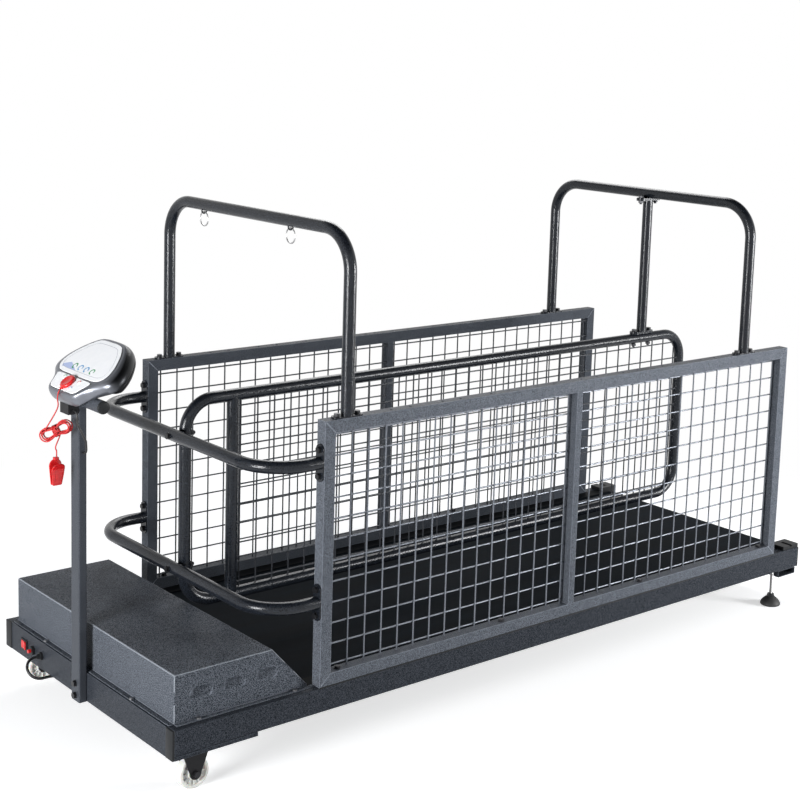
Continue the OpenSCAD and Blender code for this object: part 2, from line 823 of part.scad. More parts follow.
module bearing(x, y) {
  translate([x, y, roller_z]) difference() {
    bar_y_way(bearing_w, bearing_d - 2 * fit_gap);
    translate([0, -1, 0]) bar_y_way(bearing_w + 2, shaft_d + 2 * fit_gap);
  }
}

module roller_shafts() {
  placed() color(zinc) {
    translate([front_roller_x, -rail_in, roller_z]) bar_y_way(2 * rail_in, shaft_d);
    translate([rear_roller_x, -block_face, roller_z]) bar_y_way(2 * block_face, shaft_d);
    for (x = [front_roller_x, rear_roller_x]) {
      bearing(x, -roller_half);
      bearing(x, roller_half - bearing_w);
    }
  }
}

module rear_roller_blocks() {
  placed() color(dark) both_sides() difference() {
    union() {
      block([base_l - block_l, base_l], [block_face, rail_in],
        [rail_top - block_drop, rail_top + block_rise]);
      block([base_l - block_l, base_l], [rail_in - 1, half_w - 4], [rail_top, rail_top + block_rise]);
    }
    translate([base_l - block_l / 2, half_w - 12, rail_top + block_rise])
      rotate([90, 0, 0]) cylinder(d = 12, h = block_w + rail_w, center = true);
    translate([base_l - bolt_spare - 1, block_face + block_w / 2, roller_z + bolt_hex])
      bar_x_way(bolt_spare + 2, washer_d + hole_gap);
    translate([base_l - block_l - 1, block_face + block_w / 2, roller_z + bolt_hex])
      bar_x_way(block_l + 2, hole_d);
  }
}

// Drive
module drive_motor() {
  placed() color(dark) difference() {
    union() {
      translate([motor_x, motor_end - motor_l, motor_z]) bar_y_way(motor_l, motor_d);
      for (y = [motor_end - motor_l + 20, motor_end - 50])
        block([motor_x - motor_d * 0.36, motor_x + motor_d * 0.36], [y, y + 30], [pan_z + sheet_t, motor_z]);
    }
    translate([motor_x, motor_end - shaft_grip - 1, motor_z])
      bar_y_way(shaft_grip + 2, motor_shaft_d + 2 * fit_gap);
  }
}

module motor_pulley() {
  placed() color(zinc) {
    translate([motor_x, motor_end - shaft_grip, motor_z])
      bar_y_way(pulley_y + pulley_w - motor_end + shaft_grip, motor_shaft_d);
    translate([motor_x, pulley_y, motor_z]) pulley(motor_pulley_d);
  }
}

// Outline of a belt round two pulleys: outer tangent lines laid a hair inside the circles
module two_wheel(a, ra, b, rb) {
  d = norm(b - a);
  lean = atan2(b[1] - a[1], b[0] - a[0]);
  swing = acos((ra - rb) / d);
  above = [cos(lean + swing), sin(lean + swing)];
  below = [cos(lean - swing), sin(lean - swing)];
  na = ra - belt_nip;
  nb = rb - belt_nip;
  translate(a) circle(r = ra);
  translate(b) circle(r = rb);
  polygon([a + na * below, b + nb * below, b + nb * above, a + na * above]);
}

module drive_belt() {
  motor_at = [motor_x, motor_z];
  roller_at = [front_roller_x, roller_z];
  small = motor_pulley_d / 2 + run_gap;
  big = roller_pulley_d / 2 + run_gap;
  width = pulley_w - 2 * (flange_rim + run_gap);
  placed() color(rubber) translate([0, pulley_y + (pulley_w + width) / 2, 0]) rotate([90, 0, 0])
    difference() {
      linear_extrude(width) two_wheel(motor_at, small + drive_belt_t, roller_at, big + drive_belt_t);
      translate([0, 0, -1]) linear_extrude(width + 2) two_wheel(motor_at, small, roller_at, big);
    }
}

module motor_controller() {
  x0 = motor_x - controller_l / 2;
  placed() color(dark) {
    block([x0, x0 + controller_l], [-controller_w - 60, -60], [pan_z + sheet_t, pan_z + controller_h]);
    for (i = [0 : fin_n - 1]) {
      y = -controller_w - 60 + i * (controller_w - fin_t) / (fin_n - 1);
      block([x0, x0 + controller_l], [y, y + fin_t],
        [pan_z + controller_h - 1, pan_z + controller_h + fin_h]);
    }
  }
}

// Motor hood
function hood_line(inset, low) =
  let (top_end = hood_back - inset * tan(hood_angle / 2),
    low_end = top_end + (hood_h - inset - hood_lip) / tan(hood_angle))
  [[hood_x + inset, rail_top + low], [hood_x + inset, hood_top - inset], [top_end, hood_top - inset],
    [low_end, rail_top + hood_lip], [low_end, rail_top + low]];

module hood_body(inset, low) {
  translate([0, hood_half - inset, 0]) rotate([90, 0, 0])
    linear_extrude(2 * (hood_half - inset)) polygon(hood_line(inset, low));
}

module dents(r) {
  y = hood_half + dent_r - dent_depth;
  for (i = [0 : 2]) translate([hood_x + dent_first + i * dent_pitch, y, dent_z]) {
    translate([-dent_l / 2, 0, 0]) bar_x_way(dent_l, 2 * r);
    for (s = [-1, 1]) translate([s * dent_l / 2, 0, 0]) sphere(r = r);
  }
}

module motor_hood() {
  placed() color(graphite) difference() {
    union() {
      difference() {
        hood_body(0, 0);
        hood_body(hood_t, -1);
        block([hood_end - 8, hood_end + 1], [-rail_in - 1, rail_in + 1], [rail_top - 1, rail_top + hood_lip]);
      }
      both_sides() {
        intersection() {
          dents(dent_r + hood_t);
          block([hood_x, hood_end], [0, hood_half - hood_t / 2], [rail_top, hood_top]);
        }
        block([hood_x, panel_x - 3], [hood_half - hood_t, hood_half + hood_flange],
          [rail_top, rail_top + hood_t]);
      }
      block([hood_x - 15, hood_x + hood_t], [-rail_in + 4, rail_in - 4], [rail_top, rail_top + hood_t]);
    }
    both_sides() dents(dent_r);
    hood_screw_places() translate([0, 0, -1]) cylinder(d = screw_d + hole_gap, h = hood_t + 2);
  }
}

module hood_screw_places() {
  for (s = [-1, 1]) {
    translate([hood_x - front_screw_in, s * front_screw_y, rail_top]) children();
    for (x = side_screws) translate([x, s * (hood_half + hood_flange / 2), rail_top]) children();
  }
}

module hood_screws() {
  placed() color(zinc) hood_screw_places() {
    translate([0, 0, hood_t]) cylinder(d = screw_head_d, h = screw_head_h);
    translate([0, 0, -screw_l]) cylinder(d = screw_d, h = screw_l + hood_t + 1);
  }
}

// Side panels

module panel_windows(grow) {
  low = rail_top + panel_tube - grow;
  high = panel_top - panel_tube + grow;
  deep = [-panel_tube, panel_tube];
  block([panel_x + panel_tube - grow, mid_x - mid_post_w / 2 + grow], deep, [low, high]);
  block([mid_x + mid_post_w / 2 - grow, panel_end - panel_tube + grow], deep, [low, high]);
}

// Joint lines of the welded tubes: mitres at the corners, butts at the middle post
module panel_joints(deep) {
  for (i = [0, 1]) for (j = [0, 1])
    translate([[panel_x, panel_end][i], 0, [rail_top, panel_top][j]]) mirror([i, 0, 0]) mirror([0, 0, j])
      rotate([0, -45, 0])
        block([-1, panel_tube * 1.5], [-deep - 1, deep + 1], [-weld_line / 2, weld_line / 2]);
  for (z = [rail_top + panel_tube, panel_top - panel_tube - weld_line])
    block([mid_x - mid_post_w, mid_x + mid_post_w], [-deep - 1, deep + 1], [z, z + weld_line]);
}

// Welded frame of square tube, bored for the arch pairs, the front bars and its own bolts
module panel_frame() {
  deep = panel_tube / 2;
  difference() {
    block([panel_x, panel_end], [-deep, deep], [rail_top, panel_top]);
    panel_windows(0);
    difference() {
      block([panel_x + panel_wall, panel_end - panel_wall], [panel_wall - deep, deep - panel_wall],
        [rail_top + panel_wall, panel_top - panel_wall]);
      panel_windows(panel_wall);
    }
    panel_joints(deep);
    for (x = arch_x) for (s = [-1, 1])
      translate([x + s * arch_bolt_gap / 2, 0, panel_top - panel_wall - 1])
        cylinder(d = hole_d, h = panel_wall + 2);
    for (x = panel_bolt_x) translate([x, 0, rail_top - 1]) cylinder(d = hole_d, h = panel_tube + 2);
    for (z = [bar_upper_z, bar_lower_z]) for (s = [-1, 1])
      translate([panel_x - 1, 0, z + s * bar_bolt_gap / 2]) bar_x_way(panel_wall + 2, hole_d);
  }
}

module left_panel_frame() {
  placed() color(graphite) translate([0, panel_y, 0]) panel_frame();
}

module right_panel_frame() {
  placed() color(graphite) mirror([0, 1, 0]) translate([0, panel_y, 0]) panel_frame();
}

function wire_count(span) = floor((span - wire_margin) / wire_pitch) + 1;
function wire_at(from, to) =
  let (n = wire_count(to - from))
  [for (i = [0 : n - 1]) (from + to - (n - 1) * wire_pitch) / 2 + i * wire_pitch];

// Two crossing layers of straight wires that fill one window
module wire_window(x, z, y) {
  apart = (wire_d + layer_gap) / 2;
  for (at = wire_at(x[0], x[1])) translate([at, y + apart, z[0]]) cylinder(d = wire_d, h = z[1] - z[0]);
  for (at = wire_at(z[0], z[1])) translate([x[0], y - apart, at]) bar_x_way(x[1] - x[0], wire_d);
}

module panel_mesh() {
  z = [rail_top + panel_tube, panel_top - panel_tube];
  wire_window([panel_x + panel_tube, mid_x - mid_post_w / 2], z, half_w - wire_in);
  wire_window([mid_x + mid_post_w / 2, panel_end - panel_tube], z, half_w - wire_in);
}

module left_panel_mesh() {
  placed() color(graphite) panel_mesh();
}

module right_panel_mesh() {
  placed() color(graphite) mirror([0, 1, 0]) panel_mesh();
}

module panel_bolts() {
  placed() color(zinc) both_sides() for (x = panel_bolt_x)
    translate([x, panel_y, rail_top + panel_tube]) hex_bolt(panel_tube + rail_wall, true);
}

// Arches
module arch_run(d, low) {
  run = panel_y - arch_bend;
  leg = arch_z - arch_bend;
  both_sides() {
    translate([0, panel_y, low]) cylinder(d = d, h = leg - low);
    translate([0, run, leg]) rotate([90, 0, 90]) elbow(arch_bend, d);
  }
  translate([0, -run, arch_z]) bar_y_way(2 * run, d);
}

module flange(length, gap) {
  difference() {
    lobe_plate(length, flange_w, flange_t);
    for (s = [-1, 1]) translate([s * gap / 2, 0, -1]) cylinder(d = hole_d, h = flange_t + 2);
  }
}

module arch() {
  difference() {
    union() {
      arch_run(tube_d, panel_top);
      both_sides() translate([0, panel_y, panel_top]) flange(arch_bolt_gap + flange_over, arch_bolt_gap);
    }
    arch_run(bore_d, panel_top - 1);
  }
}

module eye(y) {
  translate([0, y, eye_z]) {
    rotate([-90, 0, 0]) rotate_extrude(angle = 180) translate([eye_r, 0]) circle(d = eye_wire);
    for (s = [-1, 1]) translate([s * eye_r, 0, 0]) cylinder(d = eye_wire, h = tube_d / 2 - eye_r - tube_wall);
  }
}

module front_arch() {
  placed() color(graphite) translate([front_arch_x, 0, 0]) {
    arch();
    eye(left_ring_y);
    eye(-right_ring_y);
  }
}

module rear_arch() {
  placed() color(graphite) translate([rear_arch_x, 0, 0]) {
    arch();
    difference() {
      translate([0, 0, drop_high]) flange(drop_bolt_gap + flange_over, drop_bolt_gap);
      translate([0, -flange_w, arch_z]) bar_y_way(2 * flange_w, tube_d - tube_wall);
    }
  }
}

module leash_ring(y) {
  translate([front_arch_x, y, ring_pivot - ring_r]) rotate([0, 90, 0])
    rotate_extrude() translate([ring_r, 0]) circle(d = ring_wire);
}

module left_ring() {
  placed() color(zinc) leash_ring(left_ring_y);
}

module right_ring() {
  placed() color(zinc) leash_ring(-right_ring_y);
}

module drop_tube() {
  placed() color(graphite) translate([rear_arch_x, 0, 0]) difference() {
    union() {
      translate([0, 0, drop_low]) cylinder(d = tube_d, h = drop_high - drop_low);
      translate([0, 0, drop_low]) flange(drop_bolt_gap + flange_over, drop_bolt_gap);
      translate([0, 0, drop_high - flange_t]) flange(drop_bolt_gap + flange_over, drop_bolt_gap);
    }
    translate([0, 0, drop_low - 1]) cylinder(d = bore_d, h = drop_high - drop_low + 2);
  }
}

// Divider
module divider_loop(d) {
  width = divider_end - divider_x;
  mid = (divider_end + divider_x) / 2;
  middle_z = divider_low + divider_h / 2;
  for (sx = [0, 1]) for (sz = [0, 1]) translate([mid, 0, middle_z]) mirror([sx, 0, 0]) mirror([0, 0, sz])
    translate([width / 2 - divider_bend, 0, divider_h / 2 - divider_bend]) rotate([90, 0, 0])
      elbow(divider_bend, d);
  for (x = [divider_x, divider_end]) translate([x, 0, divider_low + divider_bend])
    cylinder(d = d, h = divider_h - 2 * divider_bend);
  for (z = [divider_low, divider_top]) translate([divider_x + divider_bend, 0, z])
    bar_x_way(width - 2 * divider_bend, d);
  translate([inner_x, 0, divider_low]) cylinder(d = d, h = divider_h);
}

module divider_frame() {
  placed() color(graphite) {
    difference() {
      divider_loop(tube_d);
      divider_loop(bore_d);
      for (z = [bar_upper_z, bar_lower_z]) translate([divider_x - tube_d, 0, z])
        bar_x_way(2 * tube_d, hole_d);
      for (s = [-1, 1]) translate([rear_arch_x + s * drop_bolt_gap / 2, 0, divider_top - tube_d])
        cylinder(d = hole_d, h = 2 * tube_d);
    }
    difference() {
      translate([rear_arch_x, 0, drop_low - flange_t]) flange(drop_bolt_gap + flange_over, drop_bolt_gap);
      translate([rear_arch_x - drop_bolt_gap, 0, divider_top])
        bar_x_way(2 * drop_bolt_gap, tube_d - tube_wall);
    }
  }
}

// The outer wires of the mesh are cut to the rounded rear corners of the tube
module divider_mesh() {
  x = [inner_x + tube_d / 2, divider_end - tube_d / 2];
  z = [divider_low + tube_d / 2, divider_top - tube_d / 2];
  apart = (wire_d + layer_gap) / 2;
  in_r = divider_bend - tube_d / 2;
  placed() color(graphite) {
    for (at = wire_at(x[0], x[1])) {
      cut = corner_cut(x[1] - at - wire_d / 2, in_r);
      translate([at, apart, z[0] + cut]) cylinder(d = wire_d, h = z[1] - z[0] - 2 * cut);
    }
    for (at = wire_at(z[0], z[1])) {
      cut = corner_cut(min(at - z[0], z[1] - at) - wire_d / 2, in_r);
      translate([x[0], -apart, at]) bar_x_way(x[1] - x[0] - cut, wire_d);
    }
  }
}

function corner_cut(depth, r) = depth >= r ? 0 : r - sqrt(r * r - (r - depth) * (r - depth));

// Front bars
module bar_run(d, z, reach) {
  run = panel_y - bar_bend;
  translate([0, 0, z]) {
    both_sides() {
      translate([bar_x + bar_bend, panel_y, 0]) bar_x_way(bar_reach - bar_bend + reach, d);
      translate([bar_x + bar_bend, run, 0]) mirror([1, 0, 0]) elbow(bar_bend, d);
    }
    translate([bar_x, -run, 0]) bar_y_way(2 * run, d);
  }
}

module front_bar(z) {
  difference() {
    union() {
      bar_run(tube_d, z, 0);
      both_sides() translate([panel_x - flange_t, panel_y, z]) rotate([0, 90, 0])
        flange(bar_bolt_gap + flange_over, bar_bolt_gap);
    }
    bar_run(bore_d, z, 1);
    translate([bar_x - tube_d, 0, z]) bar_x_way(2 * tube_d, hole_d);
  }
}

module upper_front_bar() {
  placed() color(graphite) front_bar(bar_upper_z);
}

module lower_front_bar() {
  placed() color(graphite) front_bar(bar_lower_z);
}

// All the larger bolts of the frame
module frame_bolts() {
  placed() color(zinc) {
    both_sides() for (x = [front_arch_x, rear_arch_x]) for (s = [-1, 1])
      translate([x + s * arch_bolt_gap / 2, panel_y, panel_top + flange_t])
        hex_bolt(flange_t + panel_wall, true);
    for (s = [-1, 1]) translate([rear_arch_x + s * drop_bolt_gap / 2, 0, 0]) {
      translate([0, 0, drop_high + flange_t]) hex_bolt(2 * flange_t, true);
      translate([0, 0, drop_low + flange_t]) hex_bolt(2 * flange_t + tube_d - seat_lap + nut_seat, true);
    }
    for (z = [bar_upper_z, bar_lower_z]) {
      both_sides() for (s = [-1, 1]) translate([panel_x - flange_t, panel_y, z + s * bar_bolt_gap / 2])
        forward_bolt(flange_t + panel_wall, true);
      translate([bar_x - tube_d / 2, 0, z]) forward_bolt(2 * tube_d + run_gap + nut_seat, true);
    }
    for (z = post_bolt_z) translate([plate_x - post_d, 0, z]) forward_bolt(post_d + sheet_t, true);
    both_sides() {
      translate([castor_x, castor_y + fork_half, axle_z]) rotate([-90, 0, 0]) hex_bolt(2 * fork_half, true);
      translate([base_l - bolt_spare - 1, rail_in - block_w / 2, roller_z + bolt_hex])
        rotate([0, 90, 0]) adjuster();
    }
  }
}

module adjuster() {
  cylinder(d = bolt_hex, h = bolt_spare, $fn = 6);
  translate([0, 0, -block_l / 2]) cylinder(d = bolt_d, h = block_l / 2 + 1);
}

// Console stand and housing
module console_post() {
  end = crossbar_l / 2 - cap_t;
  placed() color(graphite) difference() {
    union() {
      translate([post_x, 0, pan_z]) linear_extrude(crossbar_z - pan_z)
        tube_section(post_d, post_w, post_wall, rail_round);
      translate([post_x, -end, crossbar_z]) bar_y_way(2 * end, tube_d);
    }
    translate([post_x, -end - 1, crossbar_z]) bar_y_way(2 * end + 2, bore_d);
    for (z = post_bolt_z) translate([plate_x - post_d - 1, 0, z]) bar_x_way(post_d + 2, hole_d);
  }
}

// Bent bracket that hugs the crossbar, lies under the shell and covers the wiring ahead of the post
module console_bracket() {
  front = plate_x - post_d;
  placed() color(dark) {
    difference() {
      union() {
        on_face() block([bracket_front, bracket_back], [-bracket_half, bracket_half],
          [-shell_d - bracket_t, -shell_d]);
        on_face() both_sides() block([bracket_front, bracket_back], [post_w / 2 + 4, post_w / 2 + 7],
          [-shell_d - 24, -shell_d - 1]);
      }
      translate([post_x, -post_w * 2, crossbar_z]) bar_y_way(post_w * 4, tube_d + 2 * plug_gap);
    }
    difference() {
      block([front - bracket_d, front], [-post_w / 2, post_w / 2], [bracket_low, crossbar_z + tube_d]);
      block([front - bracket_d + bracket_t, front + 1], [bracket_t - post_w / 2, post_w / 2 - bracket_t],
        [bracket_low - 1, crossbar_z + tube_d + 1]);
      on_face() block([-console_l, console_l], [-post_w, post_w], [-shell_d - bracket_t / 2, console_l]);
      translate([post_x, -post_w, crossbar_z]) bar_y_way(post_w * 2, tube_d + 2 * plug_gap);
    }
  }
}

function face_corners() = [
  [face_front + corner_r, front_half - corner_r], [wide_low, console_w / 2 - corner_r],
  [wide_high, console_w / 2 - corner_r], [face_rear - corner_r, rear_half - corner_r]];

module face_slice(w, inset) {
  for (s = [-1, 1]) for (c = face_corners()) translate([c[0], s * c[1], w])
    cylinder(r = corner_r - inset, h = slice_t, $fn = 32);
}

module console_shell() {
  placed() on_face() color(silver) hull() {
    face_slice(-slice_t, top_inset);
    face_slice(-rim_drop - slice_t / 2, 0);
    face_slice(-shell_d, base_inset);
  }
}

module back_slice(w, inset) {
  for (s = [-1, 1]) for (c = face_corners())
    translate([max(c[0], back_front + corner_r), s * c[1], w])
      cylinder(r = corner_r - inset, h = slice_t, $fn = 32);
}

module console_back() {
  placed() on_face() color(dark) hull() {
    back_slice(-shell_d - slice_t, base_inset + 1);
    back_slice(-shell_d - back_d, back_inset);
  }
}

module face_overlays() {
  placed() on_face() color(white) {
    linear_extrude(overlay_t) polygon(display_line);
    linear_extrude(overlay_t) difference() {
      polygon(keypad_line);
      for (p = [green_at, red_at, blue_at]) translate(p) circle(d = key_d + 2 * run_gap);
    }
  }
}

module face_key(p) {
  placed() on_face() translate([p[0], p[1], key_lift])
    cylinder(d = key_d, h = overlay_t + key_rise - key_lift);
}

module green_key() {
  color([0.16, 0.62, 0.32]) face_key(green_at);
}

module red_key() {
  color(red) face_key(red_at);
}

module blue_key() {
  color([0.12, 0.36, 0.72]) face_key(blue_at);
}

module safety_key() {
  placed() on_face() color(red) {
    translate([safety_at[0], safety_at[1], overlay_t]) cylinder(d = safety_d, h = safety_h);
    block([tail_end, safety_at[0]], [safety_at[1] - tail_w / 2, safety_at[1] + tail_w / 2],
      [overlay_t, overlay_t + tail_h]);
  }
}

// Safety lanyard, its hank and the clip
function hank_place(p) =
  let (q = [p[0] * cos(hank_rise) - p[1] * sin(hank_rise), p[2] - hank_pitch * (hank_layers - 1) / 2,
    p[0] * sin(hank_rise) + p[1] * cos(hank_rise)])
  hank_mid + [q[0] * cos(hank_turn) - q[1] * sin(hank_turn),
    q[0] * sin(hank_turn) + q[1] * cos(hank_turn), q[2]];

module lanyard() {
  placed() color(red) {
    swept(lanyard_upper, lanyard_d, 8, [0, 1, 0]);
    swept(lanyard_lower, lanyard_d, 8, [0, 1, 0]);
  }
}

module lanyard_hank() {
  placed() color(red) swept(hank_line, lanyard_d, 6, [1, 0, 0]);
}

module clip_body() {
  half = clip_tall / 2;
  wide = clip_wide / 2;
  placed() translate(clip_at) color(red) {
    translate([0, clip_back + clip_t, 0]) rotate([90, 0, 0]) linear_extrude(clip_t)
      polygon([[-clip_neck / 2, half - 6], [-wide, 4 - half], [-wide, -half], [wide, -half],
        [wide, 4 - half], [clip_neck / 2, half - 6]]);
    block([-clip_neck / 2, clip_neck / 2], [-clip_t / 2, clip_back + clip_t], [half - 7, half]);
    block([-wide, wide], [run_gap / 2, clip_back + 1], [-half, 8 - half]);
    for (s = [-1, 1]) translate([s * (clip_lug * 2) - clip_lug / 2, 0, 0]) {
      bar_x_way(clip_lug, 2 * clip_t);
      block([0, clip_lug], [0, clip_back + 1], [-clip_t, clip_t]);
    }
    translate([-clip_lug * 2.5, 0, 0]) bar_x_way(clip_lug * 5, clip_pin_d);
  }
}

module clip_jaw() {
  placed() translate(clip_at) color(red) {
    translate([clip_wide / 2 - 1, 0, 0]) rotate([90, 0, -90]) linear_extrude(clip_wide - 2)
      polygon([[run_gap / 2, -clip_tall / 2], [run_gap / 2, 8 - clip_tall / 2], [5, -8], [5, 8],
        [14, clip_tall / 2 - 10], [17, clip_tall / 2 - 11], [8.5, 7], [8.5, -8], [5, -clip_tall / 2]]);
    difference() {
      union() {
        translate([-clip_lug / 2, 0, 0]) bar_x_way(clip_lug, 2 * clip_t);
        block([-clip_lug / 2, clip_lug / 2], [-6, 0], [-clip_t, clip_t]);
      }
      translate([-clip_lug, 0, 0]) bar_x_way(clip_lug * 2, clip_pin_d + 2 * fit_gap);
    }
  }
}

// Console cable from the bracket cover down beside the post

module console_cable() {
  placed() color(dark) swept(cable_line, cable_d, 8, [1, 0, 0]);
}

// Power inlet fittings
module switch_housings() {
  placed() color(dark) {
    translate([0, rocker_y, inlet_z]) difference() {
      union() {
        block([plate_x - bezel_t, plate_x], [-bezel_w / 2, bezel_w / 2], [-bezel_h / 2, bezel_h / 2]);
        bar_x_way(plate_x + sheet_t + fitting_depth, fitting_neck);
        block([plate_x + sheet_t, plate_x + sheet_t + fitting_depth], [-bezel_w / 2, bezel_w / 2],
          [-bezel_h / 2, bezel_h / 2]);
      }
      block([plate_x - bezel_t - 1, plate_x - rocker_floor], [-rocker_w / 2, rocker_w / 2],
        [-rocker_h / 2, rocker_h / 2]);
    }
    translate([0, breaker_y, inlet_z]) difference() {
      union() {
        translate([plate_x - breaker_out, 0, 0]) bar_x_way(breaker_out, breaker_d);
        translate([plate_x - 1, 0, 0]) bar_x_way(fitting_depth, fitting_neck);
      }
      translate([plate_x - breaker_out - 1, 0, 0])
        bar_x_way(breaker_out + breaker_travel + 4, button_d + 2 * fit_gap);
    }
  }
}

// Shallow V that rocks on the floor of its housing, shown pressed at one end
module rocker() {
  reach = rocker_w / 2 - run_gap;
  lift = reach * tan(rocker_swing) + run_gap;
  placed() color(red) translate([plate_x - rocker_floor, rocker_y, inlet_z]) rotate([0, 0, -rocker_swing])
    intersection() {
      translate([0, 0, run_gap - rocker_h / 2]) linear_extrude(rocker_h - 2 * run_gap)
        polygon([[-run_gap, 0], [-lift, reach], [-lift - rocker_t, reach], [-rocker_t, 0],
          [-lift - rocker_t, -reach], [-lift, -reach]]);
      cylinder(r = reach, h = rocker_h, center = true);
    }
}

module reset_button() {
  placed() color(red) translate([plate_x - breaker_out - button_out, breaker_y, inlet_z])
    bar_x_way(button_out + breaker_out, button_d);
}

module cord_gland() {
  placed() color(dark) translate([0, gland_y, inlet_z]) {
    translate([plate_x - 6, 0, 0]) bar_x_way(6, gland_d);
    translate([plate_x - gland_out, 0, 0]) rotate([0, 90, 0])
      cylinder(d1 = cord_d + 4, d2 = gland_d - 4, h = gland_out);
    translate([plate_x - 1, 0, 0]) bar_x_way(fitting_depth, fitting_neck);
  }
}

// Mains cord, its tied coil and the plug

module mains_cord() {
  placed() color(dark) {
    swept(cord_line, cord_d, 10, [0, 1, 0]);
    swept(tail_line, cord_d, 10, [0, 0, 1]);
  }
}

module cord_coil() {
  placed() color(dark) swept(coil_line, cord_d, 6, [0, 0, 1]);
}

module mains_plug() {
  placed() color(dark) translate(plug_back) {
    rotate([0, 90, 0]) cylinder(d1 = cord_d + 3, d2 = plug_h, h = plug_l / 2);
    block([plug_l / 2 - 6, plug_l], [-plug_w / 2, plug_w / 2], [-plug_h / 2, plug_h / 2]);
    for (s = [-1, 1]) translate([plug_l - 1, s * pin_gap / 2, 0]) bar_x_way(pin_l + 1, pin_d);
  }
}

// Castors and levelling feet

module castor_forks() {
  placed() color(dark) both_sides() translate([castor_x, castor_y, 0]) difference() {
    union() {
      block([-fork_top / 2 - 4, fork_top / 2 + 4], [-fork_half - 4, fork_half + 4], [pan_z - fork_t, pan_z]);
      for (y = [-fork_half, fork_half - fork_t]) translate([0, y + fork_t, 0]) rotate([90, 0, 0])
        linear_extrude(fork_t) {
          polygon([[-fork_top / 2, pan_z - 1], [-fork_boss, axle_z], [fork_boss, axle_z],
            [fork_top / 2, pan_z - 1]]);
          translate([0, axle_z]) circle(r = fork_boss);
        }
    }
    translate([0, -fork_half - 1, axle_z]) bar_y_way(2 * fork_half + 2, hole_d);
  }
}

module castor_wheel() {
  r = wheel_d / 2;
  w = wheel_w / 2;
  hub = w + wheel_gap - hub_gap;
  translate([castor_x, castor_y, axle_z]) rotate([90, 0, 0]) rotate_extrude() polygon([
    [bolt_d / 2 + fit_gap, -hub], [hub_d / 2, -hub], [hub_d / 2, rim_dish - w], [r - rim_w, rim_dish - w],
    [r - rim_w, -w], [r - wheel_edge, -w], [r, wheel_edge - w], [r, w - wheel_edge], [r - wheel_edge, w],
    [r - rim_w, w], [r - rim_w, w - rim_dish], [hub_d / 2, w - rim_dish], [hub_d / 2, hub],
    [bolt_d / 2 + fit_gap, hub]]);
}

module left_castor_wheel() {
  placed() color(white) castor_wheel();
}

module right_castor_wheel() {
  placed() color(white) mirror([0, 1, 0]) castor_wheel();
}

module foot() {
  cap = foot_h - pad_edge;
  dome = (foot_d * foot_d / 4 + cap * cap) / (2 * cap);
  translate([foot_x, rail_y, 0]) {
    color(rubber) difference() {
      intersection() {
        cylinder(d = foot_d, h = foot_h);
        translate([0, 0, foot_h - dome]) sphere(r = dome);
      }
      translate([0, 0, stud_sink]) cylinder(d = stud_d, h = foot_h);
    }
    color(zinc) {
      translate([0, 0, stud_sink]) cylinder(d = stud_d, h = stud_top - stud_sink);
      translate([0, 0, foot_h]) cylinder(d = foot_nut, h = foot_nut_h, $fn = 6);
    }
  }
}

module left_foot() {
  placed() foot();
}

module right_foot() {
  placed() mirror([0, 1, 0]) foot();
}

right_rail();
left_rail();
tube_caps();
front_pan();
cross_members();
running_deck();
deck_cushions();
running_belt();
side_strips();
roller_shafts();
rear_roller_blocks();
drive_motor();
drive_belt();
motor_controller();
motor_hood();
hood_screws();
right_panel_frame();
left_panel_frame();
right_panel_mesh();
left_panel_mesh();
panel_bolts();
front_arch();
rear_arch();
drop_tube();
divider_frame();
divider_mesh();
upper_front_bar();
lower_front_bar();
frame_bolts();
console_post();
console_bracket();
console_shell();
console_back();
face_overlays();
console_cable();
switch_housings();
cord_gland();
mains_cord();
cord_coil();
mains_plug();
castor_forks();
front_roller();
rear_roller();
motor_pulley();
right_castor_wheel();
left_castor_wheel();
right_foot();
left_foot();
right_ring();
left_ring();
rocker();
reset_button();
green_key();
red_key();
blue_key();
safety_key();
lanyard();
lanyard_hank();
clip_body();
clip_jaw();
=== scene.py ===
"""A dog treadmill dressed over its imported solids: belt bed, hood, mesh panels, arches and console."""

import bmesh
import bpy
import numpy as np
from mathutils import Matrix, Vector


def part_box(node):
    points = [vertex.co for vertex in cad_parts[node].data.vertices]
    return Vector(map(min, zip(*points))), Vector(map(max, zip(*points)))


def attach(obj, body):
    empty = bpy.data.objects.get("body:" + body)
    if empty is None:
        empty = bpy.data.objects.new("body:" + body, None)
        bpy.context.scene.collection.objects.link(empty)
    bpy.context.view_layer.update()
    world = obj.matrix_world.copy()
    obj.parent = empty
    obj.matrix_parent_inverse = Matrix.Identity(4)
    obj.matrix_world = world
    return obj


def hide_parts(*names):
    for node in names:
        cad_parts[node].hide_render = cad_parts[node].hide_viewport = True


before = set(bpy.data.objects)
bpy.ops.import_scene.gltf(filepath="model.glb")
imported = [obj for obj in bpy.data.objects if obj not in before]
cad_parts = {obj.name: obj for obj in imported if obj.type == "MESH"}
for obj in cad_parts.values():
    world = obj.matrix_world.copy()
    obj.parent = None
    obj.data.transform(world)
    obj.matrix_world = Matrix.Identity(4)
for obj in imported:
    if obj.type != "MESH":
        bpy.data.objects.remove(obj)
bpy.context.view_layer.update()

# Room. A pale floor in a surround that is white to the eye and darkens overhead, one large soft lamp
# ahead of the console end, a wide one high up behind and one towards the rear on the near side.
def node(tree, kind, operation=None, **levels):
    """A new shader node with its inputs set by name: From_Min=0.4 sets the input From Min."""
    made = tree.nodes.new("ShaderNode" + kind)
    if operation:
        made.operation = operation
    for name, level in levels.items():
        made.inputs[name.replace("_", " ")].default_value = level
    return made


def wire(tree, *pairs):
    """Each output is joined to the input that is paired with it."""
    for start, end in pairs:
        tree.links.new(start, end)


